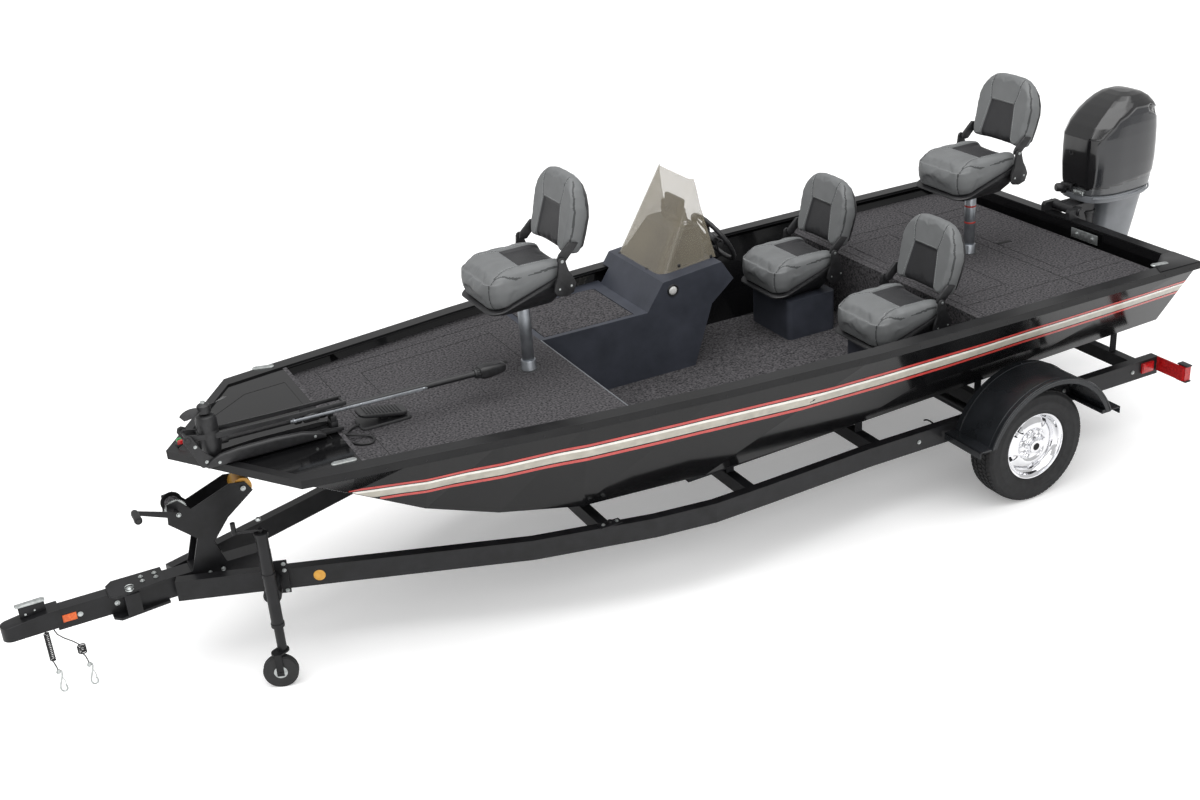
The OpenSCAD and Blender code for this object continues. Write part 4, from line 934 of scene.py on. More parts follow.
# Propeller: three swept and cupped blades on a flared hub
PROP = (-1.52, 0, PROP_Z)
blades = Part("propeller_blades", "propeller", "black", ("propeller",))
blades.lathe([(0.0105, 0.054), (0.03, 0.056), (0.041, 0.05), (0.0445, 0.03), (0.0455, 0.0), (0.0465, -0.04),
              (0.0485, -0.054), (0.045, -0.056), (0.04, -0.05), (0.032, -0.035), (0.0105, -0.035)], PROP,
             (1, 0, 0), 48)
for blade in range(3):
    turn = Matrix.Translation(PROP) @ Matrix.Rotation(math.radians(120 * blade), 4, "X")
    grid = []
    for i in range(13):
        u = i / 12
        r = 0.04 + 0.112 * i / 12
        half = 0.052 * math.sqrt(max(1 - ((u - 0.52) / 0.56) ** 2, 0.02)) * (0.75 + 0.35 * u)
        sweep = 0.03 * u * u
        pitch = math.radians(62 - 34 * u)
        row = []
        for j in range(9):
            c = (j / 8 * 2 - 1) * half
            thick = 0.0038 * (1 - 0.72 * u) * math.sqrt(max(1 - (j / 4 - 1) ** 2 * 0.9, 0.1))
            for t in (thick, -thick):
                ax = -(c * math.sin(pitch)) + t * math.cos(pitch)
                ay = c * math.cos(pitch) + sweep + t * math.sin(pitch)
                a = ay / max(r, 0.05)
                row.append(turn @ Vector((ax, r * math.sin(a), r * math.cos(a))))
        grid.append(row)
    verts = [v for row in grid for v in row]
    faces = []
    for i in range(12):
        for j in range(8):
            for k in (0, 1):
                a, b = i * 18 + j * 2 + k, i * 18 + (j + 1) * 2 + k
                faces.append([a, b, b + 18, a + 18])
        for e in (0, 16):
            faces.append([i * 18 + e, i * 18 + e + 1, (i + 1) * 18 + e + 1, (i + 1) * 18 + e])
    for j in range(8):
        for i in (0, 12):
            a = i * 18 + j * 2
            faces.append([a, a + 1, a + 3, a + 2])
    blades.mesh(verts, faces)
blades.done()
propeller_nut = Part("propeller_nut", "propeller", "zinc")
propeller_nut.tube([(-1.556, 0, PROP_Z), (-1.57, 0, PROP_Z)], 0.016, 6)
propeller_nut.rod((-1.57, 0, PROP_Z), (-1.588, 0, PROP_Z), 0.022, 20, bevel=0.002)
propeller_nut.done()

# Wheels
WHEEL_R, NUTS, NUT_CIRCLE, FIRST_NUT = 0.305, 5, 0.062, 0.25
TREAD_BLOCKS, SHOULDER_RIBS = 72, 144
# Faces of a block of eight points, without the one it stands on
OPEN_BLOCK = [[4, 5, 7, 6], [0, 1, 5, 4], [2, 3, 7, 6], [0, 2, 6, 4], [1, 3, 7, 5]]
# Sidewall from bead to shoulder: radius, distance out from the middle
SIDEWALL = [(0.1795, 0.06), (0.184, 0.073), (0.19, 0.0785), (0.197, 0.0795), (0.199, 0.0815),
            (0.203, 0.0825), (0.206, 0.0815), (0.222, 0.0865), (0.24, 0.0872), (0.243, 0.088),
            (0.247, 0.0872), (0.262, 0.085), (0.276, 0.0815), (0.279, 0.082), (0.283, 0.08), (0.29, 0.075),
            (0.2955, 0.069), (0.2985, 0.06)]

SLOT = [(-0.021, 0.0, 0), (-0.008, 0.009, 0), (0.015, 0.019, 0), (0.021, 0.01, 0), (0.021, -0.014, 0),
        (0.01, -0.013, 0), (-0.01, -0.007, 0), (-0.021, 0.0, 0)]


def wheel(name, y, s):
    """s is the side of the boat that the wheel's face looks to."""
    mid = Vector((0, y, WHEEL_R))
    tyre = Part(name + "_tyre", "wheel_" + name, "tyre", ("tyre_" + name,))
    tread = [(0.299, 0.05), (0.2945, 0.0485), (0.2945, 0.0445), (0.299, 0.043), (0.2995, 0.02),
             (0.2945, 0.0185), (0.2945, 0.0145), (0.2995, 0.013)]
    profile = SIDEWALL + tread
    profile = profile + [(r, -w) for r, w in reversed(profile)]
    profile += [(0.1795, -0.06), (0.176, -0.045), (0.176, 0.045), (0.1795, 0.06)]
    tyre.lathe(profile, mid, (0, s, 0), 128)
    for i in range(TREAD_BLOCKS):
        for j, (lo, hi, skew) in enumerate(((-0.069, -0.05, 0.4), (-0.0425, -0.0205, -0.3),
                                            (-0.0125, 0.0125, 0.2), (0.0205, 0.0425, -0.3),
                                            (0.05, 0.069, 0.4))):
            a = 2 * math.pi * (i + (j % 2) * 0.5) / TREAD_BLOCKS
            w = 2 * math.pi / TREAD_BLOCKS * 0.4
            verts = []
            for r in (0.296, WHEEL_R - (0.0012 if j in (0, 4) else 0)):
                for v, k in ((lo, -1), (hi, 1)):
                    for d in (-w, w):
                        ang = a + d + skew * w * k
                        rr = r - (0.004 if (abs(v) > 0.06 and r > 0.3) else 0)
                        verts.append(mid + polar(rr, ang, s * v))
            tyre.mesh(verts, OPEN_BLOCK)
    # Fine ribs on the sidewall's shoulder
    for a in turns(SHOULDER_RIBS):
        verts = []
        for da in (-0.004, 0.004):
            for r, w in ((0.2835, 0.079), (0.2965, 0.0665)):
                verts.append(mid + polar(r, a + da, s * w))
        out = Vector((0.5 * math.cos(a), s * 0.87, 0.5 * math.sin(a))) * 0.0016
        tyre.mesh(verts + [v + out for v in verts], OPEN_BLOCK)
    tyre.done(weld=False)

    rim = Part(name + "_rim", "wheel_" + name, "chrome", ("rim_" + name,))
    # Barrel and lips
    rim.lathe([(0.1745, 0.0705), (0.1785, 0.0715), (0.1805, 0.069), (0.1795, 0.064), (0.176, 0.061),
               (0.17, 0.06), (0.1655, 0.056), (0.164, 0.04), (0.16, 0.025), (0.156, 0.0), (0.1555, -0.045),
               (0.168, -0.056), (0.177, -0.06), (0.178, -0.066), (0.176, -0.068), (0.154, -0.048),
               (0.153, 0.0), (0.154, 0.02)], mid, (0, s, 0), 96)
    # Dished face, rising to the ring of nuts
    rim.lathe([(0.1655, 0.054), (0.16, 0.045), (0.154, 0.036), (0.148, 0.033), (0.141, 0.035),
               (0.13, 0.042), (0.112, 0.048), (0.098, 0.05), (0.09, 0.049), (0.084, 0.043), (0.08, 0.04),
               (0.05, 0.04), (0.042, 0.043), (0.0385, 0.047), (0.0375, 0.068), (0.035, 0.0745),
               (0.03, 0.0765), (0.0201, 0.0765), (0.0201, 0.03), (0.04, 0.025), (0.09, 0.03),
               (0.154, 0.025)], mid, (0, s, 0), 96)
    for a in turns(NUTS, FIRST_NUT):
        at = mid + polar(NUT_CIRCLE, a, s * 0.04)
        rim.lathe([(0.017, 0.0), (0.016, 0.003), (0.0125, 0.006), (0.011, 0.0065)], at, (0, s, 0), 20)
        rim.tube([at + Vector((0, s * 0.002, 0)), at + Vector((0, s * 0.024, 0)),
                  at + Vector((0, s * 0.0275, 0))], [0.0108, 0.0108, 0.0078], 6)
        # Raised lip round each slot
        rim.tube(slot_outline(mid, s, a + math.pi / NUTS, 0.0008, 1.14), 0.0022, 8, closed=True)
    rim.done()
    # Near-black plugs in the open slots and the hub bore: painted shade where the wheel face is open
    slot_shade = Part(name + "_rim_slot_shade", "wheel_" + name, "dark")
    for a in turns(NUTS, FIRST_NUT):
        pts = slot_outline(mid, s, a + math.pi / NUTS, 0.0012, 1.0)
        inner = [v - Vector((0, s * 0.012, 0)) for v in pts]
        n = len(pts)
        slot_shade.mesh(pts + inner, [list(range(n))] + [list(range(n, 2 * n))[::-1]]
                   + [[i, (i + 1) % n, n + (i + 1) % n, n + i] for i in range(n)])
    slot_shade.rod(mid + Vector((0, s * 0.03, 0)), mid + Vector((0, s * 0.0755, 0)), 0.0396, 24)
    slot_shade.done()
    # Valve stem
    valve = Part(name + "_valve", "wheel_" + name, "rubber", slot="black_plastic")
    valve.tube([mid + polar(r, 0.6, s * out) for r, out in ((0.16, 0.04), (0.152, 0.062), (0.15, 0.07))],
               [0.006, 0.0045, 0.003], 10)
    valve.done()


def slot_outline(mid, s, a, out, k):
    """A small rounded triangle in the wheel's face, its point to the hub."""
    u = Vector((math.cos(a), 0, math.sin(a)))
    w = Vector((-math.sin(a), 0, math.cos(a)))
    pts = []
    for q in curve(SLOT, 4)[:-1]:
        r = 0.124 + q.x * k
        face = lerp([(0.098, 0.05), (0.112, 0.048), (0.13, 0.042), (0.141, 0.035), (0.148, 0.033)], r)
        pts.append(mid + u * r + w * q.y * k + Vector((0, s * (face + out), 0)))
    return pts


wheel("port", 0.905, 1)
wheel("starboard", -0.905, -1)
# Rolled edge and two beads of each fender, round the wheel from foot to foot
FENDER_FROM, FENDER_TURN, FENDER_STEPS = 20.5, 139, 60
beads = Part("fender_beads", BOAT, "fender")
for s in (1, -1):
    for y, r, d in ((1.0885, 0.405, 0.0055), (1.06, 0.4055, 0.0035), (0.84, 0.4055, 0.0035)):
        pts = []
        for i in range(FENDER_STEPS + 1):
            a = math.radians(FENDER_FROM + FENDER_TURN * i / FENDER_STEPS)
            pts.append((r * math.cos(a), s * y, WHEEL_R + r * math.sin(a)))
        beads.tube(pts, d, 8)
    # Steps at the front and rear foot
    for k in (1, -1):
        beads.box((k * 0.372, s * 0.812, 0.44), (k * 0.452, s * 1.084, 0.447), 0.002)
        beads.box((k * 0.446, s * 0.812, 0.408), (k * 0.452, s * 1.084, 0.447), 0.002)
beads.done()

# Places read off the picture, on what carries them


def seen(tree, px, py):
    """Where the camera's ray through a place in the picture meets a surface, and the way that faces."""
    way = cam.matrix_world.to_3x3() @ Vector(((px - PIC_W / 2) / FOCAL, (PIC_H / 2 - py) / FOCAL, -1))
    at, normal = tree.ray_cast(cam.matrix_world.translation, way.normalized())[:2]
    if at is None:
        eye = cam.matrix_world.translation
        return eye + way * ((CAP_TOP - eye.z) / way.z) + FORWARD, Vector((0, 0, 1))
    if normal.dot(way) > 0:
        normal = -normal
    return at + FORWARD, normal


def up_to(normal, along=(1, 0, 0)):
    """A turn that takes Z to normal and keeps X near along."""
    z = Vector(normal).normalized()
    y = z.cross(Vector(along)).normalized()
    return Matrix((y.cross(z), y, z)).transposed().to_4x4()


# Console and helm
SCREEN = tree_of("windscreen", "console")
SCREW_PIXELS = [(711, 256.5), (679, 265.6), (647, 268.6), (620, 252.8)]
screws = Part("console_screws", BOAT, "black")
for px, py in SCREW_PIXELS:
    at, normal = seen(SCREEN, px, py)
    screws.lathe([(0.0, 0.0045), (0.005, 0.0042), (0.0085, 0.0025), (0.0095, 0.0), (0.0, 0.0)], at, normal,
                 18)
# Bezel of the courtesy lamp on the pod, and of the all-round light on the hump
LAMP = (1.355, -0.285, 1.08)
screws.lathe([(0.023, 0.001), (0.0245, 0.0035), (0.031, 0.0045), (0.0335, 0.0025), (0.034, 0.0),
              (0.0, 0.0)], LAMP, (0, 1, 0), 36)
RING = (1.13, -0.53, 1.3255)
screws.lathe([(0.02, 0.002), (0.022, 0.006), (0.044, 0.006), (0.049, 0.003), (0.05, 0.0), (0.0, 0.0)], RING,
             (0, 0, 1), 40)
# Latch slot of the step lid
screws.box((1.6, -0.352, 0.9905), (1.66, -0.34, 0.9932), 0.001)
screws.done()
lamp_lens = Part("console_lamp_lens", BOAT, "white")
lamp_lens.lathe([(0.0, 0.0065), (0.01, 0.006), (0.019, 0.004), (0.0235, 0.0)], LAMP, (0, 1, 0), 32)
lamp_lens.done()
socket = Part("console_light_socket", BOAT, "chrome")
socket.lathe([(0.0, 0.02), (0.01, 0.02), (0.014, 0.016), (0.016, 0.006), (0.02, 0.003), (0.02, 0.0)], RING,
             (0, 0, 1), 28)
socket.done()

# Fish finder on its bracket, screen to the helm, leads down to the hump
finder_case = Part("fish_finder_case", BOAT, "black", ("instruments",))
HEAD = Matrix.Translation((1.13, -0.64, 1.405)) @ Matrix.Rotation(math.radians(-8), 4, "Y")
finder_case.box((-0.016, -0.09, -0.052), (0.01, 0.09, 0.052), 0.008, HEAD, 3)
finder_case.box((0.008, -0.06, -0.036), (0.022, 0.06, 0.036), 0.006, HEAD)
for s in (1, -1):
    finder_case.prism([(1.098, 1.338), (1.15, 1.338), (1.156, 1.372), (1.144, 1.418), (1.122, 1.418),
                       (1.11, 1.376)], "y", -0.64 + s * 0.092, -0.64 + s * 0.098, 0.002)
    finder_case.lathe([(0.0, 0.014), (0.013, 0.013), (0.016, 0.009), (0.016, 0.0), (0.0, 0.0)],
                      (1.133, -0.64 + s * 0.098, 1.402), (0, s, 0), 12)
finder_case.box((1.098, -0.738, 1.334), (1.15, -0.542, 1.341), 0.002)
finder_case.lathe([(0.034, 0.0003), (0.034, 0.006), (0.026, 0.01), (0.022, 0.012), (0.0, 0.012),
                   (0.0, 0.0003)], (1.128, -0.64, 1.325), (0, 0, 1), 30)
for i, (dy, bend) in enumerate(((-0.03, 0.03), (0.0, 0.045), (0.028, 0.036))):
    finder_case.tube(curve([(1.15, -0.64 + dy, 1.4), (1.166, -0.64 + dy, 1.398),
                            (1.178 + bend * 0.3, -0.642 + dy, 1.372),
                            (1.172 + bend * 0.2, -0.646 + dy * 0.6, 1.342),
                            (1.158, -0.652 + dy * 0.4, 1.328), (1.146, -0.656 + dy * 0.3, 1.3245)], 5),
                     0.0032, 8)
finder_case.done()
screen = Part("fish_finder_screen", BOAT, "panel")
screen.box((-0.0172, -0.078, -0.036), (-0.0158, 0.052, 0.042), 0.0006, HEAD)
for i in range(5):
    screen.box((-0.018, 0.062, -0.034 + i * 0.016), (-0.0158, 0.078, -0.024 + i * 0.016), 0.0008, HEAD)
screen.done()

# Gauges, switches and key on the helm side
bezels = Part("gauge_bezels", BOAT, "chrome")
faces = Part("gauge_faces", BOAT, "panel", slot="black_plastic")
marks = Part("gauge_marks", BOAT, "white")
for y, r in ((-0.7, 0.044), (-0.54, 0.044), (-0.62, 0.028)):
    z = 1.235 if r > 0.03 else 1.262
    at = Vector((1.0695, y, z))
    bezels.lathe([(r - 0.004, 0.004), (r - 0.001, 0.0065), (r + 0.003, 0.005), (r + 0.004, 0.0),
                  (0.0, 0.0)], at, (-1, 0, 0), 40)
    faces.lathe([(0.0, 0.0045), (r - 0.0035, 0.0045)], at, (-1, 0, 0), 36)
    for i in range(13):
        a = math.radians(-45 + 270 * i / 12)
        u = Vector((0, math.cos(a), math.sin(a)))
        marks.tube([at + Vector((-0.0052, 0, 0)) + u * (r * 0.72),
                    at + Vector((-0.0052, 0, 0)) + u * (r * 0.86)], 0.0007, 4)
    marks.tube([at + Vector((-0.0056, 0, 0)), at + Vector((-0.0056, r * 0.55, r * 0.4))], 0.0009, 4)
bezels.done()
faces.done()
marks.done()
switches = Part("helm_switches", BOAT, "black")
for i in range(5):
    m = Matrix.Translation((1.028, -0.33 - i * 0.03, 1.126)) @ Matrix.Rotation(math.radians(33), 4, "Y")
    switches.box((-0.009, -0.01, -0.017), (0.001, 0.01, 0.017), 0.002, m)
    switches.box((-0.012, -0.007, -0.01), (-0.007, 0.007, 0.01), 0.002, m)
switches.lathe([(0.01, 0.004), (0.015, 0.006), (0.018, 0.0)], (1.022, -0.76, 1.118), (-0.84, 0, 0.54), 20)
switches.done()

# Steering wheel: padded rim, three slotted spokes and a hub
AXIS = Matrix.Translation((0.915, -0.6, 1.19)) @ Matrix.Rotation(math.radians(-58), 4, "Y")
steering_wheel_rim = Part("steering_wheel_rim", "steering_wheel", "black", ("steering_wheel",))
rim = []
for a in turns(96):
    rim.append(AXIS @ Vector((0.156 * math.cos(a), 0.156 * math.sin(a), 0)))
steering_wheel_rim.tube(rim, [0.0138 - 0.0012 * (0.5 + 0.5 * math.cos(i * 2 * math.pi / 4))
                              for i in range(96)], 14, closed=True)
for a in (90, 210, 330):
    m = AXIS @ Matrix.Rotation(math.radians(a), 4, "Z")
    for y in (-0.013, 0.0065):
        steering_wheel_rim.box((0.034, y, -0.006), (0.148, y + 0.0065, 0.001), 0.002, m)
    for x in (0.034, 0.072, 0.11, 0.138):
        steering_wheel_rim.box((x, -0.012, -0.0055), (x + 0.01, 0.012, 0.0005), 0.0015, m)
steering_wheel_rim.lathe([(0.0, 0.009), (0.02, 0.008), (0.032, 0.004), (0.04, -0.004), (0.042, -0.014),
                          (0.04, -0.028), (0.018, -0.032), (0.0148, -0.034), (0.0148, -0.122),
                          (0.0, -0.122)], AXIS.translation, AXIS.to_3x3() @ Vector((0, 0, 1)), 36)
steering_wheel_rim.done()
badge = Part("steering_wheel_badge", "steering_wheel", "zinc")
badge.lathe([(0.0, 0.0105), (0.013, 0.01), (0.016, 0.008)], AXIS.translation,
            AXIS.to_3x3() @ Vector((0, 0, 1)), 28)
badge.done()

# Remote control: boot, lever grip and trim button
throttle_detail = Part("throttle_detail", BOAT, "rubber", slot="black_plastic")
throttle_detail.lathe([(0.026, 0.0), (0.024, 0.005), (0.018, 0.009), (0.014, 0.014), (0.0, 0.015)],
                      (0.78, -0.8215, 1.01), (0, 1, 0), 28)
throttle_detail.tube(curve([(0.806, -0.835, 1.118), (0.812, -0.835, 1.14), (0.819, -0.835, 1.17),
                            (0.824, -0.835, 1.196)], 4),
                     [0.0115] * 4 + [0.0145] * 4 + [0.0205] * 4 + [0.018], 16)
throttle_detail.box((0.706, -0.8495, 0.966), (0.854, -0.8455, 1.044), 0.002)
throttle_detail.done()
button = Part("throttle_button", BOAT, "red")
button.lathe([(0.0, 0.004), (0.006, 0.003), (0.007, 0.0)], (0.82, -0.813, 1.182), (0, 1, 0), 16)
button.done()

# Pedestals
tubes = Part("pedestal_tubes", BOAT, "tube", ("pedestals",))
sockets = Part("pedestal_sockets", BOAT, "black")
bands = Part("pedestal_bands", BOAT, "stripe_red", slot="lamp_red")
for x, z in ((SEATS["front"][0], FRONT_DECK), (SEATS["rear"][0], AFT_DECK)):
    tubes.lathe([(0.0285, 0.046), (0.03, 0.048), (0.03, 0.325), (0.0285, 0.327)], (x, 0, z), (0, 0, 1), 40)
    tubes.lathe([(0.03, 0.05), (0.0345, 0.049), (0.0365, 0.046), (0.037, 0.008), (0.04, 0.002),
                 (0.04, 0.0003), (0.0, 0.0003)], (x, 0, z), (0, 0, 1), 40)
    sockets.lathe([(0.0305, 0.32), (0.0325, 0.322), (0.0325, 0.336), (0.029, 0.34), (0.029, 0.3492),
                   (0.0, 0.3492)], (x, 0, z), (0, 0, 1), 36)
    sockets.lathe([(0.0405, 0.0003), (0.0405, 0.003), (0.052, 0.003), (0.055, 0.0003)], (x, 0, z),
                  (0, 0, 1), 40)
for dz in (0.262, 0.17):
    bands.lathe([(0.0301, dz), (0.0306, dz + 0.001), (0.0306, dz + 0.009), (0.0301, dz + 0.01)],
                (SEATS["rear"][0], 0, AFT_DECK), (0, 0, 1), 36)
tubes.done()
sockets.done()
bands.done()

# Decks: edge trim, seams and flush pulls
trim = Part("deck_edge_trim", BOAT, "grey")
trim.tube([(2.129, -0.27, 1.0005), (2.129, 0.69, 1.0005)], 0.003, 8)
trim.done()
seams = Part("deck_seams", BOAT, "dark")
for a, b in (((3.205, -0.6), (3.205, 0.6)), ((2.16, -0.66), (3.18, -0.56)), ((2.16, 0.66), (3.18, 0.55)),
             ((2.3, -0.1), (2.3, -0.52)), ((2.3, -0.52), (3.02, -0.44)), ((3.02, -0.44), (3.02, -0.1)),
             ((3.02, -0.1), (2.42, -0.1))):
    seams.tube([(*a, FRONT_DECK + SEAM_LIFT), (*b, FRONT_DECK + SEAM_LIFT)], 0.0014, 6)
for a, b in (((-0.48, -0.8), (-0.48, 0.8)), ((0.17, -0.82), (0.17, 0.82)), ((-0.9, 0.6), (0.16, 0.6)),
             ((-0.9, -0.6), (0.16, -0.6))):
    seams.tube([(*a, AFT_DECK + SEAM_LIFT), (*b, AFT_DECK + SEAM_LIFT)], 0.0014, 6)
# Flush pulls let into the lids
for x, y, z in ((2.42, -0.14, 1.0), (-0.15, 0.0, 0.99), (-0.6, 0.0, 0.99)):
    seams.prism([(x - 0.045, y - 0.014), (x + 0.045, y - 0.014), (x + 0.045, y + 0.014),
                 (x - 0.045, y + 0.014)], "z", z - 0.001, z + 0.0012, 0.0005)
seams.done()

# Pop-up cleats and corner plates, bright on the black caps
TOPS = tree_of("gunwale", "bow_plate")
# Both ends of each cleat
CLEAT_PIXELS = [((252, 369), (274, 366)), ((331, 465), (357, 459)), ((1151, 266), (1168, 263))]
cleats = Part("deck_cleats", BOAT, "zinc")
for (ax, ay), (bx, by) in CLEAT_PIXELS:
    a, b = seen(TOPS, ax, ay)[0], seen(TOPS, bx, by)[0]
    long = b - a
    long.z = 0
    half = long.length / 2
    mid = (a + b) / 2
    m = Matrix.Translation(mid) @ up_to((0, 0, 1), long)
    cleats.take(form([[(x, y, z) for x, y in rounded(half * k, 0.016 * k, 0.0155 * k)]
                      for z, k in ((0.0002, 1.0), (0.003, 0.99), (0.0055, 0.92), (0.006, 0.8))]), m)
    for s in (-1, 1):
        cleats.bolt(m @ Vector((s * half * 0.62, 0, 0.006)), (0, 0, 1), 0.006, 0.0015)
cleats.done()
plates = Part("corner_plates", BOAT, "cap")
for s in (1, -1):
    plates.prism([(-1.028, s * 0.984), (-0.76, s * 0.976), (-0.8, s * 0.905), (-0.945, s * 0.8),
                  (-1.028, s * 0.8)], "z", 1.0683, 1.0715, 0.001)
plates.done()
# Rivets along the cap, and the inner lip of the gunwale
rivets = Part("gunwale_rivets", BOAT, "cap")
for s in (1, -1):
    for i in range(27):
        gx = -0.96 + i * 0.17
        rivets.lathe([(0.0, 0.0022), (0.003, 0.0018), (0.0045, 0.0)],
                     (gx, s * (station(gx, 1) + 0.0062), 1.045), (0, s, 0), 10)
    lip = [(-0.95, s * 0.912, 1.054)] + [(q[0], s * (q[1] - 0.066), 1.054) for q in STATIONS[1:8]]
    rivets.tube(lip, 0.0045, 8)
rivets.done()

# Bow motor
# Distance to port of the motor, the place of its pod, and the pin that it turns down on
MOTOR_Y, POD_X, PIN_X, PIN_Z = 0.215, 3.9, 4.0, 1.215
mount_body = Part("bow_mount_body", BOAT, "black", ("troll_mount",))
BASE = CAP_TOP + SEAM_LIFT
# Folded plate with turned edges, and the moulded cover beside it
for y0, y1 in ((MOTOR_Y - 0.04, MOTOR_Y - 0.034), (MOTOR_Y + 0.044, MOTOR_Y + 0.05)):
    mount_body.prism([(3.332, BASE + 0.001), (3.958, BASE + 0.001), (3.958, BASE + 0.02),
                      (3.7, BASE + 0.034), (3.42, BASE + 0.03), (3.332, BASE + 0.018)], "y", y0, y1, 0.0015)
mount_body.box((3.332, MOTOR_Y - 0.038, BASE + 0.001), (3.958, MOTOR_Y + 0.048, BASE + 0.007), 0.0015)
cover = []
for x, w, h in ((3.42, 0.008, 0.014), (3.44, 0.013, 0.03), (3.52, 0.0145, 0.052), (3.64, 0.015, 0.061),
                (3.8, 0.015, 0.061), (3.88, 0.0145, 0.054), (3.925, 0.013, 0.034), (3.94, 0.008, 0.018)):
    cover.append([(x, MOTOR_Y + 0.0635 + y, BASE + 0.0005 + h / 2 + z)
                  for y, z in rounded(w, h / 2, min(w, h / 2) * 0.8, 5)])
mount_body.take(form(cover))
# Outer ears that carry the hinge pin
for s in (1, -1):
    mount_body.prism([(3.895, BASE + 0.01), (3.965, BASE + 0.01), (3.992, 1.15), (4.02, 1.212),
                      (4.014, 1.23), (3.998, 1.236), (3.98, 1.226), (3.95, 1.15), (3.905, BASE + 0.04)],
                     "y", MOTOR_Y + s * 0.052, MOTOR_Y + s * 0.062, 0.0025)
    mount_body.lathe([(0.0, 0.008), (0.01, 0.0075), (0.0125, 0.004), (0.0125, 0.0), (0.0, 0.0)],
                     (PIN_X, MOTOR_Y + s * 0.062, PIN_Z), (0, s, 0), 24)
mount_body.rod((PIN_X, MOTOR_Y - 0.064, PIN_Z), (PIN_X, MOTOR_Y + 0.064, PIN_Z), 0.0118, 24)
mount_body.box((3.9, MOTOR_Y - 0.053, BASE + 0.003), (3.955, MOTOR_Y + 0.053, BASE + 0.013), 0.002)
# Rear saddle with its strap posts
mount_body.box((3.35, MOTOR_Y - 0.03, BASE + 0.006), (3.38, MOTOR_Y + 0.03, 1.11), 0.003)
for s in (1, -1):
    mount_body.box((3.352, MOTOR_Y + s * 0.0175, 1.1), (3.378, MOTOR_Y + s * 0.028, 1.136), 0.003)
for x in (3.385, 3.56, 3.74, 3.9):
    for s in (1, -1):
        mount_body.bolt((x, MOTOR_Y + s * 0.026, BASE + 0.007), (0, 0, 1), 0.009, 0.005)
mount_body.done()
mount_steel = Part("bow_mount_steel", BOAT, "zinc")
for x in (3.47, 3.89):
    mount_steel.bolt((x, MOTOR_Y + 0.0785, BASE + 0.022), (0, 1, 0), 0.009, 0.003)
mount_steel.bolt((3.94, MOTOR_Y + 0.062, 1.1), (0, 1, 0), 0.01, 0.004)
mount_steel.bolt((3.975, MOTOR_Y + 0.062, 1.18), (0, 1, 0), 0.01, 0.004)
mount_steel.done()

motor_body = Part("bow_motor_body", "troll_motor", "black", ("troll_motor",))
# Composite shaft with its collars
motor_body.tube([(2.6, MOTOR_Y, 1.1465), (3.88, MOTOR_Y, 1.16)], 0.0148, 24)
for x in (2.668, 3.405, 3.518, 3.84):
    zc = 1.1465 + 0.0135 * (x - 2.6) / 1.28
    motor_body.lathe([(0.0148, -0.016), (0.021, -0.015), (0.023, -0.01), (0.023, 0.01), (0.021, 0.015),
                      (0.0148, 0.016)], (x, MOTOR_Y, zc), (1, 0, 0.0105), 28)
motor_body.box((3.425, MOTOR_Y - 0.031, 1.138), (3.498, MOTOR_Y + 0.031, 1.186), 0.008, seg=3)
motor_body.tube(curve([(3.43, MOTOR_Y + 0.034, 1.172), (3.46, MOTOR_Y + 0.044, 1.18),
                       (3.495, MOTOR_Y + 0.038, 1.172)], 6), 0.007, 10)
# Pod: rounded nose down, waist ring, and the flare to the propeller
motor_body.lathe([(0.0, -0.098), (0.012, -0.096), (0.026, -0.086), (0.038, -0.066), (0.044, -0.036),
                  (0.045, 0.0), (0.045, 0.044), (0.0435, 0.048), (0.0435, 0.052), (0.045, 0.056),
                  (0.045, 0.096), (0.04, 0.112), (0.028, 0.119), (0.012, 0.1195), (0.0, 0.1195)],
                 (POD_X, MOTOR_Y, 1.17), (0, 0, 1), 48)
motor_body.lathe([(0.018, 0.0), (0.026, 0.01), (0.034, 0.024), (0.0, 0.024)], (3.85, MOTOR_Y, 1.1597),
                 (1, 0, 0.0105), 28)
motor_body.prism([(3.935, 1.216), (3.935, 1.13), (3.962, 1.132), (4.028, 1.156), (4.03, 1.166)], "y",
                 MOTOR_Y - 0.003, MOTOR_Y + 0.003, 0.001)
motor_body.rod((POD_X, MOTOR_Y, 1.286), (POD_X, MOTOR_Y, 1.339), 0.0118, 20)
# Lift arms, and the cross bars that tie them
for s in (1, -1):
    motor_body.prism([(3.302, 1.18), (3.6, 1.181), (3.9, 1.184), (3.985, 1.199), (4.01, 1.212),
                      (4.008, 1.222), (3.998, 1.229), (3.962, 1.221), (3.9, 1.205), (3.6, 1.2),
                      (3.302, 1.199)], "y", MOTOR_Y + s * 0.0305, MOTOR_Y + s * 0.0395, 0.002)
motor_body.rod((3.312, MOTOR_Y - 0.033, 1.1895), (3.312, MOTOR_Y + 0.033, 1.1895), 0.012, 16)
motor_body.rod((3.945, MOTOR_Y - 0.033, 1.209), (3.945, MOTOR_Y + 0.033, 1.209), 0.01, 16)
# Control head: rounded body, turned cap with ribs, and the cable boot
head = []
for x, hy, hz, zc in ((2.531, 0.016, 0.014, 1.148), (2.54, 0.024, 0.021, 1.148),
                      (2.575, 0.03, 0.026, 1.148), (2.612, 0.0345, 0.029, 1.148),
                      (2.645, 0.0345, 0.029, 1.148), (2.658, 0.028, 0.024, 1.147)):
    head.append([(x, MOTOR_Y + y, zc + q) for y, q in rounded(hy, hz, hz * 0.55, 6)])
motor_body.take(form(head))
motor_body.lathe([(0.02, 0.0), (0.024, 0.003), (0.024, 0.018), (0.019, 0.022), (0.0148, 0.03)],
                 (2.655, MOTOR_Y, 1.147), (1, 0, 0.0105), 28)
for a in turns(14):
    motor_body.box((2.658, MOTOR_Y + 0.0242 * math.cos(a) - 0.0015, 1.147 + 0.0242 * math.sin(a) - 0.0015),
                   (2.674, MOTOR_Y + 0.0242 * math.cos(a) + 0.0015, 1.147 + 0.0242 * math.sin(a) + 0.0015),
                   0.0005)
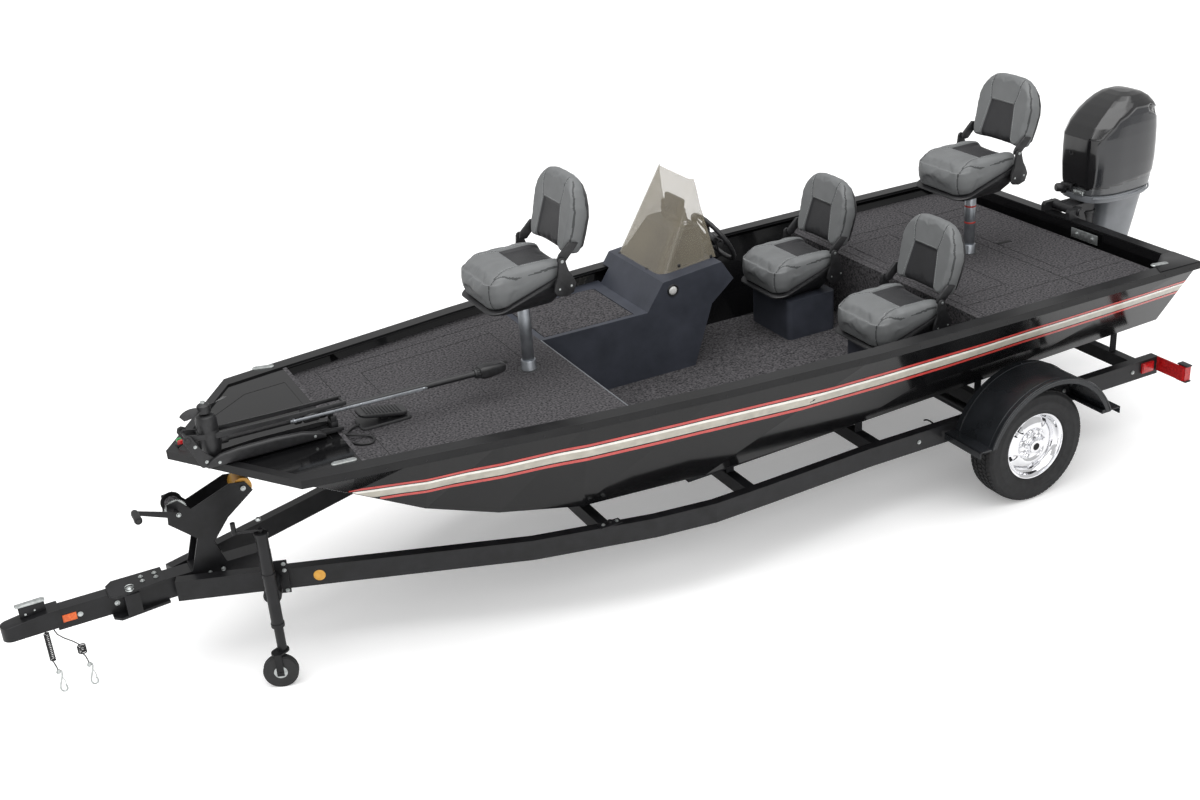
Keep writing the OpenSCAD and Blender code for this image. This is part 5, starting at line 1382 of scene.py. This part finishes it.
motor_body.tube(curve([(2.56, MOTOR_Y - 0.02, 1.126), (2.62, MOTOR_Y - 0.034, 1.118),
                       (2.76, MOTOR_Y - 0.026, 1.128), (3.0, MOTOR_Y - 0.0205, 1.1335),
                       (3.3, MOTOR_Y - 0.0205, 1.137), (3.42, MOTOR_Y - 0.022, 1.146)], 6), 0.0042, 8)
motor_body.done()
display = Part("bow_motor_display", "troll_motor", "panel")
display.take(form([[(2.572 + x, MOTOR_Y + y, z) for x, y in rounded(0.02, 0.018, 0.006, 4)]
                   for z in (1.1735, 1.175)]))
display.done()
gas_bar = Part("bow_motor_gas_bar", "troll_motor", "tube")
# The bright release bar along the port side
gas_bar.prism([(2.93, 1.158), (2.95, 1.158), (3.56, 1.166), (3.56, 1.18), (2.94, 1.171), (2.928, 1.166)],
              "y", MOTOR_Y + 0.048, MOTOR_Y + 0.0525, 0.0015)
for x, zc in ((2.945, 1.1645), (3.54, 1.1725), (3.24, 1.1685)):
    gas_bar.lathe([(0.0, 0.003), (0.005, 0.0028), (0.007, 0.0)], (x, MOTOR_Y + 0.0525, zc), (0, 1, 0), 14)
gas_bar.rod((3.54, MOTOR_Y + 0.03, 1.1725), (3.54, MOTOR_Y + 0.049, 1.1725), 0.01, 14)
gas_bar.rod((3.46, MOTOR_Y + 0.03, 1.17), (3.46, MOTOR_Y + 0.049, 1.17), 0.01, 14)
gas_bar.done()

propeller = Part("bow_propeller", "troll_propeller", "black", ("troll_propeller",))
at = Vector((POD_X, MOTOR_Y, 1.318))
propeller.lathe([(0.0063, -0.022), (0.026, -0.022), (0.0295, -0.018), (0.03, 0.0), (0.027, 0.012),
                 (0.018, 0.019), (0.0063, 0.021)], at, (0, 0, 1), 36)
for blade in range(2):
    turn = Matrix.Translation(at) @ Matrix.Rotation(math.radians(20 + 180 * blade), 4, "Z")
    rows = []
    for i in range(11):
        u = i / 10
        r = 0.022 + 0.098 * u
        half = 0.03 * math.sqrt(max(1 - ((u - 0.55) / 0.6) ** 2, 0.03))
        pitch = math.radians(58 - 30 * u)
        ring = []
        for a in turns(12):
            c, t = half * math.cos(a), 0.0024 * (1 - 0.5 * u) * math.sin(a)
            ring.append(turn @ Vector((r, c * math.cos(pitch) + t * math.sin(pitch) + 0.02 * u * u,
                                       -c * math.sin(pitch) * 0.55 + t * math.cos(pitch))))
        rows.append(ring)
    propeller.take(form(rows))
propeller.done()
propeller_nut = Part("bow_propeller_nut", "troll_propeller", "zinc")
propeller_nut.tube([at + Vector((0, 0, 0.0205)), at + Vector((0, 0, 0.03))], 0.01, 6)
propeller_nut.done()

# Foot pedal: ribbed tread on its base, and the lead that lies on the deck to the mount
pedal_body = Part("foot_pedal_body", BOAT, "black", ("foot_pedal",))
base = rounded(0.12, 0.065, 0.02, 5)
pedal_body.take(form([[(3.11 + x * k, 0.125 + y * k, z) for x, y in base]
                      for z, k in ((1.0003, 1.0), (1.008, 1.0), (1.0135, 0.95))]))
PEDAL = Matrix.Translation((3.115, 0.125, 1.046)) @ Matrix.Rotation(math.radians(-10.4), 4, "Y")
tread = rounded(0.116, 0.054, 0.03, 6)
pedal_body.take(form([[(x * k, y * k, z) for x, y in tread]
                      for z, k in ((-0.01, 0.9), (-0.006, 0.99), (0.004, 1.0), (0.008, 0.96))]), PEDAL)
for i in range(11):
    x = -0.08 + i * 0.016
    pedal_body.box((x - 0.003, -0.04, 0.006), (x + 0.003, 0.04, 0.0115), 0.0012, PEDAL)
pedal_body.box((3.092, 0.1, 1.01), (3.128, 0.15, 1.04), 0.004)
pedal_body.tube(curve([(-0.11, 0.046, 0.006), (-0.116, 0.03, 0.014), (-0.117, 0.0, 0.017),
                       (-0.116, -0.03, 0.014), (-0.11, -0.046, 0.006)], 6), 0.005, 10)
pedal_body.done()
# Coloured foot switches
switches = Part("foot_pedal_switches", BOAT, "red")
switches.take(form([[(3.02 + x, 0.078 + y, z) for x, y in rounded(0.01, 0.008, 0.003, 4)]
                    for z in (1.0138, 1.017)]))
switches.done()
lead = curve([(3.222, 0.13, 1.01), (3.262, 0.14, 1.0072), (3.3, 0.18, 1.0065), (3.318, 0.25, 1.0065),
              (3.29, 0.31, 1.0065), (3.24, 0.33, 1.0065), (3.215, 0.3, 1.0065), (3.228, 0.262, 1.01),
              (3.275, 0.24, 1.0172), (3.318, 0.236, 1.03), (3.345, 0.232, 1.05), (3.352, 0.228, 1.072)], 6)
pedal_lead = Part("foot_pedal_lead", BOAT, "rubber")
pedal_lead.tube(lead, 0.0052, 12)
lead_obj = pedal_lead.done()

# Bow plate: hatch seam and the light in the nose
seams = Part("bow_plate_seams", BOAT, "dark")
line = [(3.4, 0.3), (3.4, -0.42), (3.6, -0.4), (3.86, -0.18), (3.86, 0.1)]
for start, end in zip(line, line[1:]):
    seams.tube([(*start, BOW_TOP + 0.0002), (*end, BOW_TOP + 0.0002)], 0.0012, 6)
seams.done()
light_base = Part("bow_light_base", BOAT, "black")
light_base.take(form([[(3.975 + x, -0.03 + y, z) for x, y in rounded(0.032 * k, 0.02 * k, 0.012 * k, 5)]
                      for z, k in ((1.0602, 1.0), (1.07, 1.0), (1.078, 0.86))]))
light_base.done()
for name, y, key in (("port", -0.018, "red"), ("starboard", -0.042, "green")):
    bow_light = Part("bow_light_" + name, BOAT, key, slot="lamp_red")
    bow_light.take(form([[(3.98 + x, y + q, z) for x, q in rounded(0.02 * k, 0.01 * k, 0.006 * k, 4)]
                         for z, k in ((1.077, 1.0), (1.088, 0.94), (1.092, 0.7))]))
    bow_light.done()

# Safety cables
# Each is a curly cord from the tongue to its hook
WIRE, TURN_STEPS = 0.0055, 16
HOOK_LINE = [(0.0, 0.168), (0.009, 0.177), (0.0, 0.187), (-0.01, 0.178), (-0.011, 0.166), (-0.007, 0.148),
             (0.0, 0.128), (0.007, 0.108), (0.009, 0.09), (0.004, 0.078), (-0.006, 0.0735), (-0.016, 0.078),
             (-0.0185, 0.09), (-0.015, 0.104)]


def hook(side, x, y):
    """Bent wire: eye at the top, open throat, and the spring gate across it."""
    wire = Part("safety_hook_" + side, "tongue", "zinc", ("safety_hooks",))
    wire.tube(curve([(x + a, y, z) for a, z in HOOK_LINE], 5), 0.0037, 12)
    wire.tube(curve([(x - 0.0155, y, 0.101), (x - 0.0165, y, 0.12), (x - 0.0115, y, 0.14),
                     (x - 0.006, y, 0.15)], 5), 0.002, 8)
    wire.lathe([(0.006, -0.008), (0.0068, -0.007), (0.0068, 0.007), (0.006, 0.008), (0.0, 0.008)],
               (x - 0.0005, y, 0.1805), (0, 0, 1), 16)
    return wire.done()


def curly(name, node, head, axis, top, low, radius, coils, tail):
    """A plain run, a helix about a vertical axis, and a plain end into the hook's eye."""
    pts = [Vector(p) for p in head]
    count = coils * TURN_STEPS
    for i in range(count + 1):
        a = 2 * math.pi * i / TURN_STEPS
        r = radius * min(1.0, 0.25 + i / 10, 0.25 + (count - i) / 10)
        z = top + (low - top) * i / count
        pts.append(Vector((axis[0] + r * math.cos(a), axis[1] + r * math.sin(a), z)))
    pts += [Vector(p) for p in tail]
    cord = Part(name, "tongue", "rubber", (node,))
    cord.tube(pts, WIRE / 2, 8)
    obj = cord.done()


PORT_HOOK = hook("port", 4.705, 0.03)
STARBOARD_HOOK = hook("starboard", 4.575, 0.048)
curly("safety_cable_port_wire", "safety_cable_port",
      [(4.715, 0.026, 0.3968), (4.715, 0.026, 0.392)], (4.715, 0.026), 0.385, 0.238, 0.0106, 16,
      [(4.714, 0.0265, 0.226), (4.709, 0.028, 0.205), (4.705, 0.03, 0.177)])
curly("safety_cable_starboard_wire", "safety_cable_starboard",
      [(4.68, 0.03, 0.3978), (4.68, 0.03, 0.388), (4.672, 0.034, 0.365), (4.65, 0.038, 0.341),
       (4.622, 0.042, 0.318), (4.604, 0.044, 0.3)], (4.59, 0.045), 0.286, 0.244, 0.017, 5,
      [(4.588, 0.0455, 0.236), (4.584, 0.046, 0.228), (4.578, 0.047, 0.205), (4.575, 0.048, 0.177)])

# Coupler and tongue
bolts = Part("tongue_bolts", "tongue", "zinc")
for x in (4.4, 4.56, 4.655):
    for s in (1, -1):
        bolts.bolt((x, s * 0.0325, 0.43), (0, s, 0), 0.016, 0.008)
for s in (1, -1):
    bolts.bolt((4.844, s * 0.033, 0.425), (0, s, 0), 0.014, 0.007)
# Latch lever over the coupler with its lock pin
bolts.prism([(4.69, 0.531), (4.8, 0.531), (4.812, 0.536), (4.812, 0.54), (4.7, 0.543), (4.684, 0.538)], "y",
            -0.014, 0.014, 0.002)
bolts.rod((4.735, -0.019, 0.505), (4.735, 0.019, 0.505), 0.008, 14)
bolts.rod((4.775, -0.017, 0.495), (4.775, 0.017, 0.495), 0.01, 14)
bolts.done()
reflector = Part("tongue_reflector", "tongue", "orange")
reflector.box((4.575, 0.0322, 0.412), (4.635, 0.0345, 0.448), 0.001)
reflector.done()

# Swing hinge: pin, clip ring and plate bolts
HINGE_PIN, HINGE_TOP = (4.34, 0.062), 0.4925
pin = Part("hinge_pin", BOAT, "zinc")
pin.lathe([(0.0, 0.014), (0.01, 0.013), (0.0145, 0.009), (0.0145, 0.002), (0.018, 0.0), (0.0, 0.0)],
          (*HINGE_PIN, HINGE_TOP), (0, 0, 1), 24)
ring = []
for a in turns(24):
    ring.append((HINGE_PIN[0] + 0.019 * math.cos(a), HINGE_PIN[1] + 0.006 * math.sin(a),
                 0.5075 + 0.014 * math.sin(a)))
pin.tube(ring, 0.0018, 8, closed=True)
for x, y in ((4.275, 0.02), (4.275, -0.02), (4.215, 0.02), (4.215, -0.02)):
    pin.bolt((x, y, HINGE_TOP), (0, 0, 1), 0.014, 0.008)
# Rail and stand bolts
for s in (1, -1):
    for x, z in ((3.985, 0.455), (4.045, 0.455), (3.925, 0.455)):
        pin.bolt((x, s * 0.0553, z), (0, s, 0), 0.015, 0.008)
pin.done()

# Winch
DRUM_X, DRUM_Z = 4.074, 0.803


def drum_at(y):
    """A point on the winch's axle."""
    return (DRUM_X, y, DRUM_Z)


gear = Part("winch_gear", "winch_drum", "zinc")
gear.lathe([(0.03, 0.0), (0.047, 0.0), (0.047, 0.003), (0.03, 0.003)], drum_at(0.0455), (0, 1, 0), 48)
for a in turns(36):
    turn = Matrix.Translation(drum_at(0.047)) @ Matrix.Rotation(a, 4, "Y")
    gear.box((0.045, -0.0015, -0.0016), (0.0495, 0.0015, 0.0016), 0.0005, turn)
gear.bolt(drum_at(0.101), (0, 1, 0), 0.014, 0.008)
gear.done()
grip = Part("winch_grip", "winch_drum", "rubber", slot="black_plastic")
grip.lathe([(0.011, 0.0), (0.0165, 0.004), (0.0175, 0.02), (0.016, 0.045), (0.018, 0.072), (0.0165, 0.082),
            (0.0, 0.086)], (4.252, 0.101, 0.868), (0, 1, 0), 24)
grip.done()
# Strap wound on the drum
roll = Part("winch_strap_roll", "winch_drum", "carpet", slot="cable_black")
roll.lathe([(0.0, -0.03), (0.0335, -0.03), (0.034, -0.028), (0.034, 0.028), (0.0335, 0.03), (0.0, 0.03)],
           drum_at(0), (0, 1, 0), 48)
for i in range(3):
    roll.tube([(DRUM_X + 0.0343 * math.cos(a), (i - 1) * 0.018, DRUM_Z + 0.0343 * math.sin(a))
               for a in turns(40)], 0.0008, 6, closed=True)
roll.done()
ends = Part("roller_ends", BOAT, "zinc")
for k in (1, -1):
    ends.bolt((3.773, k * 0.0605, 0.823), (0, k, 0), 0.016, 0.008)
ends.done()

# Jack, turned to lie along the rail
JACK = Matrix.Translation((3.74, 0.2476, 0)) @ Matrix.Rotation(-math.atan2(0.258, 0.68), 4, "Z")
# Out from the rail to the jack's tube, and the middle of its wheel
JACK_OUT = 0.165
CASTER = (0.019, 0.185, 0.0765)
hardware = Part("jack_hardware", BOAT, "zinc")
for x in (-0.045, 0.045):
    for z in (0.378, 0.482, 0.515):
        hardware.bolt(JACK @ Vector((x, 0.0103, z)), JACK.to_3x3() @ Vector((0, 1, 0)), 0.013, 0.008)
hardware.done()
collars = Part("jack_collars", BOAT, "frame")
for z in (0.305, 0.56, 0.762):
    collars.lathe([(0.027, -0.01), (0.03, -0.009), (0.0305, 0.0), (0.03, 0.009), (0.027, 0.01)],
                  JACK @ Vector((0, JACK_OUT, z)), (0, 0, 1), 36)
collars.done()
cap = Part("jack_crank_rod", BOAT, "zinc")
cap.lathe([(0.0, 0.012), (0.009, 0.011), (0.012, 0.008), (0.012, 0.0)],
          JACK @ Vector((0, JACK_OUT, 0.8325)), (0, 0, 1), 20)
cap.done()
hub = Part("jack_caster_hub", "jack_wheel", "zinc")
for k in (1, -1):
    hub.lathe([(0.0, 0.006), (0.012, 0.005), (0.024, 0.002), (0.03, 0.0), (0.0, 0.0)],
              JACK @ Vector((CASTER[0], CASTER[1] + k * 0.0192, CASTER[2])),
              JACK.to_3x3() @ Vector((0, k, 0)), 28)
hub.done()
treads = Part("jack_caster_treads", "jack_wheel", "rubber", slot="jack_tyre")
for k in (-0.012, 0.012):
    pts = []
    for a in turns(48):
        pts.append(JACK @ Vector((CASTER[0] + 0.0758 * math.cos(a), CASTER[1] + k,
                                  CASTER[2] + 0.0758 * math.sin(a))))
    treads.tube(pts, 0.003, 8, closed=True)
treads.done()

# Rails: lamps, reflectors and bolts
RAIL_SIDE, GUIDE_X = 0.7985, 2.3
amber = Part("amber_reflectors", BOAT, "amber")
bolts = Part("rail_bolts", BOAT, "zinc")
bezels = Part("tail_bezels", BOAT, "black")
reflectors = Part("tail_side_reflectors", BOAT, "red")
plates = Part("guide_rods", BOAT, "frame")
for s in (1, -1):
    out = (0, s, 0)
    amber.lathe([(0.0, 0.005), (0.022, 0.0045), (0.026, 0.002), (0.027, 0.0), (0.0, 0.0)],
                (3.56, s * 0.316, 0.43), (0.355, s * 0.935, 0), 32)
    for x in (0.34, -0.34):
        for z in (0.4, 0.455):
            bolts.bolt((x, s * RAIL_SIDE, z), out, 0.014, 0.008)
    for x in (-0.82, 0.12, 0.6):
        bolts.bolt((x, s * RAIL_SIDE, 0.43), out, 0.014, 0.008)
    bezels.box((-1.0405, s * 0.93, 0.392), (-1.0, s * 0.996, 0.3995), 0.002)
    bezels.box((-1.0405, s * 0.93, 0.4805), (-1.0, s * 0.996, 0.488), 0.002)
    reflectors.box((-0.955, s * 0.8102, 0.416), (-0.885, s * 0.813, 0.459), 0.001)
    # Plate and stub of the guide rod on the rail
    y = lerp([(1.5, 0.828), (1.8, 0.838), (2.1, 0.8), (2.66, 0.665)], GUIDE_X)
    plates.rod((GUIDE_X, s * (y - 0.025), 0.478), (GUIDE_X, s * (y - 0.025), 0.5), 0.022, 16)
    plates.box((2.245, s * (y - 0.05), 0.4802), (2.355, s * y, 0.4862), 0.0015)
    for x in (2.265, 2.335):
        bolts.bolt((x, s * (y - 0.025), 0.4864), (0, 0, 1), 0.013, 0.007)
amber.done()
bolts.done()
bezels.done()
reflectors.done()
plates.done()
# Backing plate with two bolts inside the transom
plate = Part("transom_plate", BOAT, "zinc")
plate.box((-0.9485, 0.15, 0.9905), (-0.944, 0.35, 1.045), 0.002)
for y in (0.19, 0.31):
    plate.bolt((-0.944, y, 1.018), (1, 0, 0), 0.016, 0.007)
plate.done()

# Lights and floor
world = bpy.data.worlds.new("studio")
bpy.context.scene.world = world
world.use_nodes = True


def by_ray(nt, low, high):
    """One strength for rays from the camera or through glass, and another for all others."""
    path = nt.nodes.new("ShaderNodeLightPath")
    either = nt.nodes.new("ShaderNodeMath")
    either.operation = "MAXIMUM"
    nt.links.new(path.outputs["Is Camera Ray"], either.inputs[0])
    nt.links.new(path.outputs["Is Transmission Ray"], either.inputs[1])
    strength = nt.nodes.new("ShaderNodeMapRange")
    strength.inputs["To Min"].default_value = low
    strength.inputs["To Max"].default_value = high
    nt.links.new(either.outputs[0], strength.inputs["Value"])
    return strength.outputs["Result"]


back = world.node_tree.nodes["Background"]
back.inputs["Color"].default_value = (1, 1, 1, 1)
world.node_tree.links.new(by_ray(world.node_tree, 0.62, 1.0), back.inputs["Strength"])


def area(name, pos, target, size, power):
    lamp = bpy.data.lights.new(name, "AREA")
    lamp.shape = "RECTANGLE"
    lamp.size, lamp.size_y = size
    lamp.energy = power
    obj = bpy.data.objects.new(name, lamp)
    bpy.context.scene.collection.objects.link(obj)
    obj.location = pos
    obj.rotation_euler = (Vector(target) - Vector(pos)).to_track_quat("-Z", "Y").to_euler()


area("top", (0.5, 1.0, 7.0), (0, 0, 0), (10.0, 7.0), 300)
area("port", (1.5, 8.0, 4.0), (0, 0, 0.8), (8.0, 3.0), 120)
sun = bpy.data.lights.new("sky", "SUN")
sun.energy = 1.5
sun.angle = 1.4
sun_obj = bpy.data.objects.new("sky", sun)
bpy.context.scene.collection.objects.link(sun_obj)
sun_obj.rotation_euler = (math.radians(-14), math.radians(10), 0)

floor = bpy.data.meshes.new("floor")
floor.from_pydata([(-30, -30, 0), (30, -30, 0), (30, 30, 0), (-30, 30, 0)], [], [(0, 1, 2, 3)])
floor_obj = bpy.data.objects.new("floor", floor)
bpy.context.scene.collection.objects.link(floor_obj)
fm = material("floor", "f6f6f6", "fafafa", 2, 0.8, 0.05, 0.01, 50, spec=0.1)
# Seen by the camera or through glass, the floor is lifted to white, and keeps its shadow
shade = fm.node_tree.nodes["Principled BSDF"]
shade.inputs["Emission Color"].default_value = (1, 1, 1, 1)
fm.node_tree.links.new(by_ray(fm.node_tree, 0.0, 0.22), shade.inputs["Emission Strength"])
floor.materials.append(fm)
floor_obj.location.z = -0.0005
bpy.context.scene.view_settings.view_transform = "Standard"
